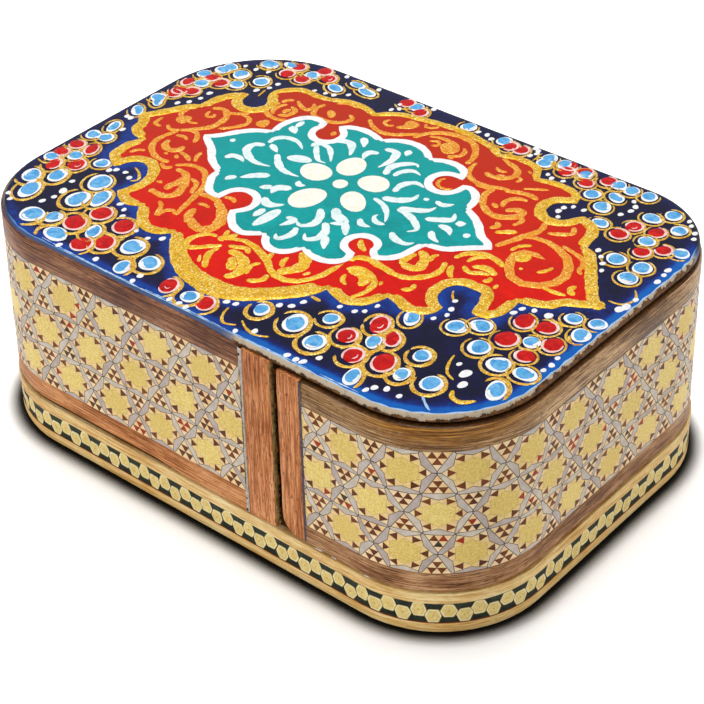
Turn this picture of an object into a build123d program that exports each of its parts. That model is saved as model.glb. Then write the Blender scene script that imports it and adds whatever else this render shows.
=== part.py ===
from build123d import *
import os
from math import cos, pi, sin, sqrt

# A small inlaid wooden box, 100 mm long: a fixed case that is open at its right end, and a
# drawer whose rounded end cap closes it. Origin at the bottom centre, +X along the drawer's
# travel, -Y the front, +Z up.

# Outline of the box, seen from above
body_length = 100.0
body_depth = 70.0
corner_radius = 18.0

# Base: a board with a three-band edging that stands slightly proud of the body
base_lip = 0.3
edging_thickness = 1.2
base_bottom_strip_height = 2.1
base_band_height = 3.6
base_top_strip_height = 1.9
felt_thickness = 0.5
felt_margin = 0.3

# Hexagon tiles, let into the middle band in a zigzag chain
tile_thickness = 0.3
tile_flats = 1.86
tile_pitch = 2.17

# Walls of the case and of the drawer's end cap
wall_height = 29.6
wall_thickness = 4.5
veneer_thickness = 1.2
case_bottom_strip_height = 4.0
cap_bottom_strip_height = 3.6
case_top_strip_height = 3.4
cap_top_strip_height = 4.0

# The slit that parts the drawer's cap from the case, and the posts beside it
slit_center = 16.55
slit_width = 1.5
case_post_width = 5.2
cap_post_width = 4.1
cap_corner_rounding = 3.0

# Lid: a painted panel on a board that is let in between the walls
lid_inset = 0.9
lid_panel_thickness = 1.1
lid_edge_rounding = 0.4
lid_board_thickness = 3.0

# Drawer
slide_clearance = 0.3
lid_gap = 0.5
board_gap = 0.4
tray_side_gap = 0.5
tray_end_gap = 0.6
tray_wall_thickness = 2.0
tray_floor_thickness = 2.0
tray_rim_gap = 0.8
rim_joint_x = 0.0
lining_thickness = 0.5
lining_drop = 0.6

# Levels that follow from the sizes
base_height = base_bottom_strip_height + base_band_height + base_top_strip_height
band_bottom = base_bottom_strip_height
band_top = band_bottom + base_band_height
wall_top = base_height + wall_height
lid_board_bottom = wall_top - lid_board_thickness
cap_bottom = base_height + slide_clearance
cap_top = wall_top - lid_gap
tray_bottom = cap_bottom
tray_top = lid_board_bottom - tray_rim_gap
tray_floor_top = tray_bottom + tray_floor_thickness
lining_bottom = tray_floor_top + lining_thickness

# Faces across the box that follow from the sizes
case_end_x = slit_center - slit_width / 2
cap_start_x = slit_center + slit_width / 2
case_post_x = case_end_x - case_post_width
cap_post_x = cap_start_x + cap_post_width
cap_wall_thickness = wall_thickness + tray_side_gap
tray_left_x = -body_length / 2 + wall_thickness + tray_end_gap
tray_right_x = body_length / 2 - cap_wall_thickness
tray_width = body_depth - 2 * cap_wall_thickness
tray_radius = corner_radius - cap_wall_thickness
reach = body_length + body_depth


def slab(inset, low, high):
    """The box's rounded outline, drawn in by inset, from one level to another."""
    face = RectangleRounded(
        body_length - 2 * inset, body_depth - 2 * inset, corner_radius - inset
    )
    return extrude(Pos(0, 0, low) * face, high - low)


def ring(outer_inset, inner_inset, low, high):
    """A band that follows the outline between two insets."""
    return slab(outer_inset, low, high) - slab(inner_inset, low, high)


def between(shape, left, right):
    """The part of a shape that lies between two X values."""
    middle = (left + right) / 2
    return shape & Pos(middle, 0, 0) * Box(right - left, reach, reach)


def case_side(shape):
    return between(shape, -reach, case_end_x)


def cap_side(shape):
    """The part of a shape in the drawer's cap, with the cap's two rounded toes."""
    left = cap_start_x
    right = body_length
    middle = (left + right) / 2
    profile = Pos(middle, (cap_bottom + cap_top) / 2) * Rectangle(
        right - left, cap_top - cap_bottom
    )
    toe = profile.vertices().group_by(Axis.X)[0].sort_by(Axis.Y)[0]
    profile = fillet(toe, cap_corner_rounding)
    return shape & extrude(Plane.XZ * profile, reach, both=True)


def tray_outline(inset, low, high):
    """The tray's rounded outline, drawn in by inset, from one level to another."""
    length = tray_right_x - tray_left_x - 2 * inset
    middle = (tray_right_x + tray_left_x) / 2
    face = RectangleRounded(length, tray_width - 2 * inset, tray_radius - inset)
    return extrude(Pos(middle, 0, low) * face, high - low)


def tray_ring(outer_inset, inner_inset, low, high):
    return tray_outline(outer_inset, low, high) - tray_outline(inner_inset, low, high)


def station(distance, inset):
    """A plane on the outline, at a distance along it from the middle of the front."""
    half_x = body_length / 2 - corner_radius
    half_y = body_depth / 2 - corner_radius
    radius = corner_radius - inset
    arc = radius * pi / 2
    angle = -pi / 2
    center = (0.0, -half_y)
    left = distance
    runs = [half_x, half_y * 2, half_x * 2, half_y * 2, half_x]
    corners = [(half_x, -half_y), (half_x, half_y), (-half_x, half_y), (-half_x, -half_y)]
    along = 0.0
    for index, run in enumerate(runs):
        if left <= run or index == len(corners):
            along = left
            break
        left -= run
        center = corners[index]
        if left <= arc:
            angle += left / radius
            break
        left -= arc
        angle += pi / 2
    normal = Vector(cos(angle), sin(angle), 0)
    tangent = Vector(-sin(angle), cos(angle), 0)
    point = Vector(center[0], center[1], 0) + normal * radius + tangent * along
    return Plane(origin=point, x_dir=tangent, z_dir=normal)


def outline_length(inset):
    straight = 2 * (body_length + body_depth - 4 * corner_radius)
    return straight + 2 * pi * (corner_radius - inset)


def hexagon_tiles():
    """Hexagons round the base, by turns against the band's top and bottom edge."""
    ground_inset = tile_thickness - base_lip
    length = outline_length(ground_inset)
    count = 2 * round(length / tile_pitch / 2)
    width = tile_flats * 2 / sqrt(3)
    rise = (base_band_height - tile_flats) / 2
    middle = (band_bottom + band_top) / 2
    hexagon = RegularPolygon(width / 2, 6, major_radius=True)
    tiles = []
    for index in range(count):
        level = middle + rise * (-1) ** index
        place = station(index * length / count, ground_inset)
        tile = extrude(place * Pos(0, level) * hexagon, tile_thickness)
        tiles.append(tile.solid())
    return Compound(children=tiles)


def lid_board():
    """The board under the panel: glued between the case walls, clear of the cap's walls."""
    fixed = between(slab(wall_thickness, lid_board_bottom, wall_top), -reach, case_end_x)
    free = slab(cap_wall_thickness + board_gap, lid_board_bottom, wall_top)
    return fixed + between(free, 0, reach)


def lid_panel():
    panel = slab(lid_inset, wall_top, wall_top + lid_panel_thickness)
    return fillet(panel.faces().sort_by(Axis.Z)[-1].edges(), lid_edge_rounding)


def base_nodes():
    outer = -base_lip
    inner = edging_thickness - base_lip
    ground = tile_thickness - base_lip
    return {
        "base_board": slab(inner, felt_thickness, base_height),
        "base_felt_pad": slab(inner + felt_margin, 0, felt_thickness),
        "base_bottom_strip": ring(outer, inner, 0, band_bottom),
        "base_inlay_band": ring(ground, inner, band_bottom, band_top),
        "base_hexagon_tiles": hexagon_tiles(),
        "base_top_strip": ring(outer, inner, band_top, base_height),
    }


def post(left, right, side, low, high):
    """A flat strip of veneer beside the slit, at the front (side -1) or back (side 1)."""
    middle_y = side * (body_depth - veneer_thickness) / 2
    blank = Box(right - left, veneer_thickness, high - low)
    return Pos((left + right) / 2, middle_y, (low + high) / 2) * blank


def case_nodes():
    strip_top = base_height + case_bottom_strip_height
    strip_bottom = wall_top - case_top_strip_height
    core = ring(veneer_thickness, wall_thickness, base_height, wall_top)
    nodes = {"case_wall": case_side(core)}
    levels = {
        "case_bottom_strip": (base_height, strip_top),
        "case_khatam_sheet": (strip_top, strip_bottom),
        "case_top_strip": (strip_bottom, wall_top),
    }
    for name, (low, high) in levels.items():
        band = ring(0, veneer_thickness, low, high)
        nodes[name] = between(band, -reach, case_post_x)
    for name, side in (("front", -1), ("back", 1)):
        strip = post(case_post_x, case_end_x, side, base_height, wall_top)
        nodes["case_" + name + "_post"] = strip
    nodes["lid_board"] = lid_board()
    nodes["lid_panel"] = lid_panel()
    return nodes


def cap_nodes():
    strip_top = base_height + cap_bottom_strip_height
    strip_bottom = cap_top - cap_top_strip_height
    core = ring(veneer_thickness, cap_wall_thickness, cap_bottom, cap_top)
    nodes = {"cap_wall": cap_side(core)}
    levels = {
        "cap_bottom_strip": (cap_bottom, strip_top),
        "cap_khatam_sheet": (strip_top, strip_bottom),
        "cap_top_strip": (strip_bottom, cap_top),
    }
    for name, (low, high) in levels.items():
        band = ring(0, veneer_thickness, low, high)
        nodes[name] = between(band, cap_post_x, reach)
    for name, side in (("front", -1), ("back", 1)):
        strip = post(cap_start_x, cap_post_x, side, cap_bottom, cap_top)
        nodes["cap_" + name + "_post"] = cap_side(strip)
    return nodes


def tray_nodes():
    """The tray behind the cap: a bentwood rim in two halves, a floor and a lining."""
    rim = tray_ring(0, tray_wall_thickness, tray_bottom, tray_top)
    inside = tray_wall_thickness
    lining = tray_ring(inside, inside + lining_thickness, lining_bottom, tray_top - lining_drop)
    return {
        "tray_rim_outer_half": between(rim, rim_joint_x, reach),
        "tray_rim_inner_half": between(rim, -reach, rim_joint_x),
        "tray_floor": tray_outline(inside, tray_bottom, tray_floor_top),
        "tray_floor_lining": tray_outline(inside, tray_floor_top, lining_bottom),
        "tray_wall_lining": lining,
    }


def main():
    os.makedirs("parts", exist_ok=True)
    nodes = base_nodes() | case_nodes() | cap_nodes() | tray_nodes()
    for name, shape in nodes.items():
        export_step(shape, "parts/" + name + ".step")


main()
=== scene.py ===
import random
from math import acos, atan2, ceil, cos, degrees, floor, hypot, pi, radians, sin, sqrt

import bpy
import numpy as np
from mathutils import Matrix, Vector
from mathutils.geometry import tessellate_polygon


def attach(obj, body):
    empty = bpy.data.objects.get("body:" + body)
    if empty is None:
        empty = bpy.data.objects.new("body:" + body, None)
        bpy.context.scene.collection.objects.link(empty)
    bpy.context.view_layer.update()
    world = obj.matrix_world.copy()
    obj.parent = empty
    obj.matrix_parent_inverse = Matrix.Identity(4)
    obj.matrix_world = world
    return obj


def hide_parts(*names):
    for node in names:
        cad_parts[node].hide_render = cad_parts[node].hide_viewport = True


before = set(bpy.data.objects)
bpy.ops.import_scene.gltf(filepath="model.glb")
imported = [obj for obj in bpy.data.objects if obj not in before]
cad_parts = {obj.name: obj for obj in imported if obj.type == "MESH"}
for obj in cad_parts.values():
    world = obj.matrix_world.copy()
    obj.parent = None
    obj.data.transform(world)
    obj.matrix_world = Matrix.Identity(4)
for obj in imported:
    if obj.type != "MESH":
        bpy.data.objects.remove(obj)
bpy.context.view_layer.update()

scene = bpy.context.scene
scene.view_settings.view_transform = "Standard"

# Sizes below are in millimetres, and meshes are scaled to metres when they are made
MM = 0.001
HALF_X, HALF_Y, RADIUS = 50.0, 35.0, 18.0
RUN_X, RUN_Y = HALF_X - RADIUS, HALF_Y - RADIUS
ARC = RADIUS * pi / 2
PERIMETER = 4 * (RUN_X + RUN_Y + ARC)
CORNER_STARTS = (
    RUN_X,
    RUN_X + ARC + 2 * RUN_Y,
    3 * RUN_X + 2 * ARC + 2 * RUN_Y,
    3 * RUN_X + 3 * ARC + 4 * RUN_Y,
)
CORNERS = ((RUN_X, -RUN_Y), (RUN_X, RUN_Y), (-RUN_X, RUN_Y), (-RUN_X, -RUN_Y))
BACK = PERIMETER / 2

BASE_TOP, WALL_TOP = 7.6, 37.2
CAP_BOTTOM, CAP_TOP = 7.9, 36.7
LID_TOP = 38.3
CASE_END, CAP_START = 15.8, 17.3
CASE_POST, CAP_POST = 10.6, 21.4


# Outline of the box

def outline(u):
    """Point on the box's outline and its outward normal, u mm round from the middle of the front."""
    u %= PERIMETER
    point, angle = (u, -HALF_Y), -pi / 2
    if u > PERIMETER - RUN_X:
        return (u - PERIMETER, -HALF_Y), (0.0, -1.0)
    for start, (cx, cy) in zip(CORNER_STARTS, CORNERS):
        if u <= start:
            break
        turn = min(u - start, ARC) / RADIUS
        angle_here = angle + turn
        normal = (cos(angle_here), sin(angle_here))
        along = max(0.0, u - start - ARC)
        point = (
            cx + RADIUS * normal[0] - along * normal[1],
            cy + RADIUS * normal[1] + along * normal[0],
        )
        angle += pi / 2
        if u <= start + ARC:
            return point, normal
    return point, (cos(angle), sin(angle))


def smooth(t):
    t = min(1.0, max(0.0, t))
    return t * t * (3 - 2 * t)


def lean(x, z):
    """How far a wall's face stands in from upright: the walls taper a little towards the lid."""
    height = smooth((z - BASE_TOP) / (WALL_TOP - BASE_TOP) * 0.5) * 2
    amount = 0.2 if x > 16.5 else 0.45 + 0.17 * smooth((-x - 33) / 11)
    return min(1.0, height) * amount


def place(u, z, out=0.0):
    (x, y), (nx, ny) = outline(u)
    out -= lean(x, z)
    return (x + nx * out, y + ny * out, z)


def stations(u0, u1, straight=4.0, turn=radians(6.4)):
    """Distances along the outline, close together round the corners."""
    found = {u0, u1}
    for lap in (-1, 0, 1):
        marks = []
        for start in CORNER_STARTS:
            count = ceil(pi / 2 / turn)
            marks += [start + ARC * i / count for i in range(count + 1)]
        found |= {m + lap * PERIMETER for m in marks if u0 < m + lap * PERIMETER < u1}
    ordered = sorted(found)
    filled = []
    for a, b in zip(ordered, ordered[1:]):
        count = max(1, ceil((b - a) / straight))
        filled += [a + (b - a) * i / count for i in range(count)]
    return filled + [u1]


# Colours and materials

def srgb(code):
    """A colour written as six hex digits, as linear RGBA."""
    values = [int(code[i:i + 2], 16) / 255 for i in (0, 2, 4)]
    return tuple(v / 12.92 if v <= 0.04045 else ((v + 0.055) / 1.055) ** 2.4 for v in values) + (1,)


class Shader:
    """A material's node tree, built in code."""

    def __init__(self, name, **surface):
        surface.setdefault("specular_ior_level", 0.1)
        self.material = bpy.data.materials.new(name)
        self.material.use_nodes = True
        self.tree = self.material.node_tree
        self.surface = self.tree.nodes["Principled BSDF"]
        for name, value in surface.items():
            self.surface.inputs[name.replace("_", " ").title().replace("Ior", "IOR")].default_value = value

    def node(self, kind, inputs=None, **settings):
        node = self.tree.nodes.new("ShaderNode" + kind)
        for name, value in settings.items():
            setattr(node, name, value)
        for name, value in (inputs or {}).items():
            self.feed(node.inputs[name], value)
        return node

    def feed(self, socket, value):
        if isinstance(value, bpy.types.NodeSocket):
            self.tree.links.new(value, socket)
        else:
            socket.default_value = value

    def place(self, scale=(1, 1, 1), source="Object"):
        """Object coordinates in mm, scaled."""
        coordinates = self.node("TexCoord").outputs[source]
        return self.node(
            "Mapping", {"Vector": coordinates, "Scale": tuple(1000 * s for s in scale)}
        ).outputs["Vector"]

    def noise(self, vector, scale=1.0, detail=3.0, roughness=0.5, distortion=0.0):
        inputs = {
            "Vector": vector, "Scale": scale, "Detail": detail,
            "Roughness": roughness, "Distortion": distortion,
        }
        return self.node("TexNoise", inputs).outputs["Fac"]

    def cells(self, vector, scale=1.0, feature="F1", output="Distance"):
        return self.node("TexVoronoi", {"Vector": vector, "Scale": scale}, feature=feature).outputs[output]

    def ramp(self, factor, *stops):
        """stops are (position, colour code)."""
        ramp = self.node("ValToRGB", {"Fac": factor})
        elements = ramp.color_ramp.elements
        while len(elements) < len(stops):
            elements.new(0.5)
        for element, (position, code) in zip(elements, stops):
            element.position = position
            element.color = srgb(code) if isinstance(code, str) else (code, code, code, 1)
        return ramp.outputs["Color"]

    def mix(self, factor, a, b, blend="MIX"):
        node = self.node("Mix", data_type="RGBA", blend_type=blend)
        self.feed(node.inputs[0], factor)
        for socket, value in ((node.inputs[6], a), (node.inputs[7], b)):
            self.feed(socket, srgb(value) if isinstance(value, str) else value)
        return node.outputs[2]

    def math(self, operation, a, b=None, c=None):
        node = self.node("Math", operation=operation)
        for socket, value in zip(node.inputs, (a, b, c)):
            if value is not None:
                self.feed(socket, value)
        return node.outputs[0]

    def colour(self, value):
        self.feed(self.surface.inputs["Base Color"], srgb(value) if isinstance(value, str) else value)

    def rough(self, value, low, high):
        spread = self.node("MapRange", {"Value": value, "To Min": low, "To Max": high})
        self.feed(self.surface.inputs["Roughness"], spread.outputs["Result"])

    def bump(self, height, strength, distance=0.1):
        inputs = {"Height": height, "Strength": strength, "Distance": distance * MM}
        self.feed(self.surface.inputs["Normal"], self.node("Bump", inputs).outputs["Normal"])


def wood(name, dark, middle, light, grain="level", fine=1.0, lines=0.5, pores=0.35, rough=0.45, coat=0.03, top_streaks=None, layers=0.0):
    """Wood with streaks, thin grain lines and short pores. grain is level or upright.

    The argument after coat, (colour, x, y, reach), streaks the strip's upper part near a place dark and amber,
    fading with distance from it; layers is the strength of long dark lines."""
    shader = Shader(name, coat_weight=coat, coat_roughness=0.25, specular_ior_level=0.1)

    def stretched(along, across):
        scale = (along, along, across) if grain == "level" else (across, across, along)
        return shader.place(scale)

    broad = shader.noise(stretched(0.045, 0.8 * fine), 1.0, 3, 0.6, 0.3)
    fibre = shader.noise(stretched(0.18, 4.6 * fine), 1.0, 3, 0.75)
    patch = shader.noise(shader.place((0.11, 0.11, 0.11)), 1.0, 2, 0.5)
    tone = shader.math("MULTIPLY_ADD", fibre, 0.80, shader.math("MULTIPLY", broad, 0.36))
    tone = shader.math("ADD", tone, shader.math("MULTIPLY_ADD", patch, 0.30, -0.23))
    colour = shader.ramp(tone, (0.36, dark), (0.50, middle), (0.64, light))
    ring = shader.noise(stretched(0.035, 1.5 * fine), 1.0, 2, 0.55, 0.4)
    line = shader.ramp(ring, (0.40, 0.0), (0.425, 1.0), (0.45, 0.0), (0.53, 0.0), (0.55, 1.0), (0.575, 0.0))
    line = shader.math("MULTIPLY", line, shader.ramp(fibre, (0.35, 1.0), (0.62, 0.25)))
    colour = shader.mix(shader.math("MULTIPLY", line, lines), colour, dark)
    dash = shader.noise(stretched(0.55, 3.2), 1.5, 1, 0.4)
    pore = shader.ramp(dash, (0.60, 0.0), (0.67, 1.0))
    colour = shader.mix(shader.math("MULTIPLY", pore, pores), colour, dark)
    relief = shader.math("SUBTRACT", tone, shader.math("MULTIPLY", line, 0.35))
    if layers:
        sheet = shader.noise(stretched(0.02, 2.1), 1.0, 2, 0.7, 0.15)
        seam = shader.ramp(sheet, (0.38, 0.0), (0.405, 1.0), (0.43, 0.0), (0.49, 0.0), (0.51, 1.0), (0.53, 0.0), (0.57, 0.0), (0.59, 0.9), (0.62, 0.0))
        colour = shader.mix(shader.math("MULTIPLY", seam, layers), colour, dark)
        relief = shader.math("SUBTRACT", relief, shader.math("MULTIPLY", seam, 0.3))
    # Dark and amber streaks over the strip's upper part near one place, fading with distance from it.
    if top_streaks:
        shade, x, y, reach = top_streaks
        away = shader.node("VectorMath", {0: shader.place((1, 1, 0)), 1: (x, y, 0)}, operation="DISTANCE")
        blot = shader.noise(shader.place((1, 1, 1)), 0.9, 4, 0.75)
        near = shader.math("MULTIPLY_ADD", blot, 7.0, away.outputs["Value"])
        mask = shader.ramp(shader.math("DIVIDE", near, reach), (0.4, 1.0), (1.0, 0.0))
        height = shader.node("SeparateXYZ", {"Vector": shader.place((1, 1, 1))}).outputs["Z"]
        rise = shader.math("MULTIPLY_ADD", blot, 0.06, shader.math("MULTIPLY", height, 0.01))
        mask = shader.math("MULTIPLY", mask, shader.ramp(rise, (0.360, 0.0), (0.386, 1.0)))
        glow = shader.noise(stretched(0.12, 3.4 * fine), 1.0, 4, 0.8)
        streak = shader.ramp(glow, (0.38, dark), (0.50, shade), (0.66, "D89C48"))
        colour = shader.mix(mask, colour, streak)
    shader.colour(colour)
    shader.rough(tone, rough - 0.12, rough + 0.12)
    shader.bump(relief, 0.4, 0.06)
    return shader.material


def lacquered(name, colour, other, mottle=1.4, rough=0.4, coat=0.05, **surface):
    """A small inlaid piece under lacquer."""
    shader = Shader(name, coat_weight=coat, coat_roughness=0.14, **surface)
    spots = shader.noise(shader.place((1, 1, 1)), mottle, 3, 0.65)
    fine = shader.noise(shader.place((1, 1, 1)), 9.0, 2, 0.6)
    tone = shader.math("MULTIPLY_ADD", fine, 0.4, shader.math("MULTIPLY", spots, 0.6))
    shader.colour(shader.ramp(tone, (0.34, colour), (0.62, other)))
    shader.rough(tone, rough - 0.08, rough + 0.1)
    shader.bump(fine, 0.12, 0.03)
    return shader.material


def gilt(name, dark, middle, light, spark, rough=0.36, metal=0.15):
    """Gold paint with a coarse glitter in it; its pale specks are painted glints."""
    shader = Shader(name, metallic=metal)
    grains = shader.cells(shader.place((1, 1, 1)), 5.5, output="Color")
    separate = shader.node("SeparateColor", {"Color": grains})
    brush = shader.noise(shader.place((1, 1, 1)), 1.1, 3, 0.6, 0.6)
    tone = shader.math("MULTIPLY_ADD", separate.outputs["Red"], 0.30, shader.math("MULTIPLY_ADD", brush, 0.62, 0.05))
    colour = shader.ramp(tone, (0.22, dark), (0.5, middle), (0.74, light))
    glint = shader.ramp(separate.outputs["Green"], (0.86, 0.0), (0.92, 1.0))
    shader.colour(shader.mix(glint, colour, spark))
    shader.rough(separate.outputs["Blue"], rough - 0.1, rough + 0.16)
    shader.bump(tone, 0.25, 0.05)
    return shader.material


def paint(name, dark, middle, light, size=0.5, rough=0.2, coat=0.04, relief=0.12, back=None):
    """Enamel paint with soft brush marks, under lacquer. back is its middle tone at the box's back."""
    shader = Shader(name, coat_weight=coat, coat_roughness=0.05, specular_ior_level=0.07)
    broad = shader.noise(shader.place((1, 1, 1)), size, 3, 0.6, 0.8)
    fine = shader.noise(shader.place((1, 1, 1)), size * 7, 2, 0.6)
    tone = shader.math("MULTIPLY_ADD", fine, 0.3, shader.math("MULTIPLY", broad, 0.7))
    colour = shader.ramp(tone, (0.34, dark), (0.5, middle), (0.66, light))
    if back:
        depth = shader.node("SeparateXYZ", {"Vector": shader.place((1, 1, 1))})
        across = shader.math("MULTIPLY_ADD", depth.outputs["X"], -0.006, 0.5)
        far = shader.math("MULTIPLY_ADD", depth.outputs["Y"], 0.016, across)
        colour = shader.mix(shader.ramp(far, (0.25, 0.0), (0.95, 1.0)), colour, back)
    shader.colour(colour)
    shader.rough(tone, rough - 0.06, rough + 0.08)
    shader.bump(tone, relief, 0.05)
    return shader.material


def cloth(name, dark, light, nap=3.0, sheen=0.6, tint="FFFFFF"):
    shader = Shader(
        name, roughness=0.95, sheen_weight=sheen, sheen_roughness=0.4,
        sheen_tint=srgb(tint), specular_ior_level=0.15,
    )
    pile = shader.noise(shader.place((1, 1, 1)), nap, 4, 0.7)
    brushed = shader.noise(shader.place((0.09, 0.09, 0.09)), 1.0, 2, 0.5, 0.6)
    tone = shader.math("MULTIPLY_ADD", pile, 0.6, shader.math("MULTIPLY", brushed, 0.4))
    shader.colour(shader.ramp(tone, (0.35, dark), (0.65, light)))
    shader.bump(pile, 0.7, 0.15)
    return shader.material


# Meshes

class Mesh:
    """Faces of one object, each with its material, in mm."""

    def __init__(self):
        self.points, self.faces, self.slots, self.normals, self.materials = [], [], [], {}, []
        self.tones = {}

    def slot(self, material):
        if material not in self.materials:
            self.materials.append(material)
        return self.materials.index(material)

    def add(self, points, faces, material, normals=None):
        first = len(self.points)
        self.points += points
        slot = self.slot(material)
        for face in faces:
            self.faces.append([first + i for i in face])
            self.slots.append(slot)
        if normals:
            for index, normal in enumerate(normals):
                self.normals[first + index] = normal

    def build(self, name, body, replaces=(), sharp=30):
        mesh = bpy.data.meshes.new(name)
        mesh.from_pydata([[c * MM for c in p] for p in self.points], [], self.faces)
        for material in self.materials:
            mesh.materials.append(material)
        mesh.polygons.foreach_set("material_index", self.slots)
        mesh.polygons.foreach_set("use_smooth", [True] * len(mesh.polygons))
        if self.normals:
            normals = [self.normals.get(i, (0, 0, 1)) for i in range(len(self.points))]
            mesh.normals_split_custom_set_from_vertices(normals)
        elif sharp:
            mesh.set_sharp_from_angle(angle=radians(sharp))
        if self.tones:
            tones = mesh.attributes.new("tone", "FLOAT", "POINT")
            tones.data.foreach_set("value", [self.tones.get(i, 0.0) for i in range(len(self.points))])
        mesh.validate()
        mesh.update()
        piece = bpy.data.objects.new(name, mesh)
        scene.collection.objects.link(piece)
        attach(piece, body)
        if replaces:
            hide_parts(*replaces)
        return piece


def sweep(mesh, u0, u1, profile, material, closed=False, ends=None, spacing=4.0, face_materials=None):
    """A band whose section profile(u), a closed run of (out, z), follows the outline."""
    stops = stations(u0, u1, spacing)
    if closed:
        stops = stops[:-1]
    rows = [[place(u, z, out) for out, z in profile(u)] for u in stops]
    count = len(rows[0])
    points = [p for row in rows for p in row]
    by_edge = {}
    pairs = list(zip(range(len(rows)), range(1, len(rows))))
    if closed:
        pairs.append((len(rows) - 1, 0))
    for a, b in pairs:
        for i in range(count):
            j = (i + 1) % count
            face = [a * count + i, b * count + i, b * count + j, a * count + j]
            edge_material = face_materials[i] if face_materials else material
            by_edge.setdefault(mesh.slot(edge_material), []).append(face)
    if not closed:
        last = (len(rows) - 1) * count
        caps = [list(range(count)), list(range(last, last + count))[::-1]]
        by_edge.setdefault(mesh.slot(ends or material), []).extend(caps)
    first = len(mesh.points)
    mesh.points += points
    for slot, faces in by_edge.items():
        for face in faces:
            mesh.faces.append([first + i for i in face])
            mesh.slots.append(slot)


def bar(low, high, inner, outer, top_round=0.25, bottom_round=0.25, wave=0.0, seed=0.0):
    """A rectangular section with rounded outer edges. Its outer edges wander a little by wave."""
    def section(u):
        sway = wave * (sin(u * 0.11 + seed) + 0.6 * sin(u * 0.27 + 2.1 * seed)) / 1.6
        lo = low(u) if callable(low) else low
        hi = high(u) if callable(high) else high
        points = [(inner, lo)]
        b, t = bottom_round, top_round
        out = outer + sway
        points += [(out - b, lo), (out - 0.3 * b, lo + 0.3 * b), (out, lo + b)]
        points += [(out, hi - t), (out - 0.3 * t, hi - 0.3 * t), (out - t, hi)]
        return points + [(inner, hi)]
    return section


def cut(polygon, axis, limit, keep_above):
    """The part of a polygon on one side of a line u or z = limit."""
    kept = []
    for a, b in zip(polygon, polygon[1:] + polygon[:1]):
        inside_a = (a[axis] >= limit) == keep_above
        inside_b = (b[axis] >= limit) == keep_above
        if inside_a:
            kept.append(a)
        if inside_a != inside_b:
            t = (limit - a[axis]) / (b[axis] - a[axis])
            kept.append((a[0] + (b[0] - a[0]) * t, a[1] + (b[1] - a[1]) * t))
    return kept


def inset(polygon, distances):
    """A convex polygon with each edge moved inwards by its own distance."""
    count = len(polygon)
    area = sum(a[0] * b[1] - b[0] * a[1] for a, b in zip(polygon, polygon[1:] + polygon[:1]))
    side = 1 if area > 0 else -1
    lines = []
    for i, (a, b) in enumerate(zip(polygon, polygon[1:] + polygon[:1])):
        dx, dy = b[0] - a[0], b[1] - a[1]
        length = hypot(dx, dy) or 1e-9
        nx, ny = -dy / length * side, dx / length * side
        d = distances[i] if hasattr(distances, "__len__") else distances
        lines.append((nx, ny, nx * a[0] + ny * a[1] + d))
    moved = []
    for i in range(count):
        (a, b, c), (d, e, f) = lines[i - 1], lines[i]
        det = a * e - b * d
        if abs(det) < 0.02:
            px, py = polygon[i]
            moved.append((px + (a + d) / 2 * (c - a * px - b * py), py + (b + e) / 2 * (c - a * px - b * py)))
        else:
            moved.append(((c * e - b * f) / det, (a * f - c * d) / det))
    return moved


def wrap(mesh, polygon, material, out, u0, u1, stops, gap=0.0):
    """Lays a flat (u, z) polygon on the outline, cut at u0 and u1 and at the corner's facets."""
    if gap:
        polygon = inset(polygon, gap)
    lo, hi = min(p[0] for p in polygon), max(p[0] for p in polygon)
    if hi <= u0 or lo >= u1:
        return
    if lo < u0:
        polygon = cut(polygon, 0, u0, True)
    if hi > u1:
        polygon = cut(polygon, 0, u1, False)
    inner = [s for s in stops if lo < s < hi and u0 < s < u1]
    pieces = []
    for s in inner:
        left = cut(polygon, 0, s, False)
        if len(left) > 2:
            pieces.append(left)
        polygon = cut(polygon, 0, s, True)
    if len(polygon) > 2:
        pieces.append(polygon)
    for piece in pieces:
        points = [place(u, z, out) for u, z in piece]
        normals = [(*outline(u)[1], 0) for u, z in piece]
        area = sum(a[0] * b[1] - b[0] * a[1] for a, b in zip(piece, piece[1:] + piece[:1]))
        face = list(range(len(piece)))
        mesh.add(points, [face if area > 0 else face[::-1]], material, normals)


def corner_stops(turn=radians(6.4)):
    count = ceil(pi / 2 / turn)
    marks = []
    for lap in (-1, 0, 1):
        for start in CORNER_STARTS:
            marks += [start + ARC * i / count + lap * PERIMETER for i in range(count + 1)]
    return sorted(marks)


STOPS = corner_stops()


# Camera: the photograph's view, fitted to the box's outline

def make_camera():
    azimuth, elevation, distance = radians(41.225), radians(37.814), 335.306
    back = Vector((sin(azimuth) * cos(elevation), -cos(azimuth) * cos(elevation), sin(elevation)))
    right = Vector((cos(azimuth), sin(azimuth), 0))
    up = back.cross(right)
    target = right * 0.795 + up * 9.586
    position = back * distance
    forward = (target - position).normalized()
    right = forward.cross(Vector((0, 0, 1))).normalized()
    up = right.cross(forward)
    roll = radians(-1.745)
    right, up = right * cos(roll) + up * sin(roll), up * cos(roll) - right * sin(roll)
    turn = Matrix((right, up, -forward)).transposed().to_4x4()
    data = bpy.data.cameras.new("camera")
    data.lens = 105.62
    data.sensor_width = 36
    data.clip_start, data.clip_end = 0.01, 10
    camera = bpy.data.objects.new("camera", data)
    camera.matrix_world = Matrix.Translation(position * MM) @ turn
    scene.collection.objects.link(camera)
    scene.camera = camera


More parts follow.
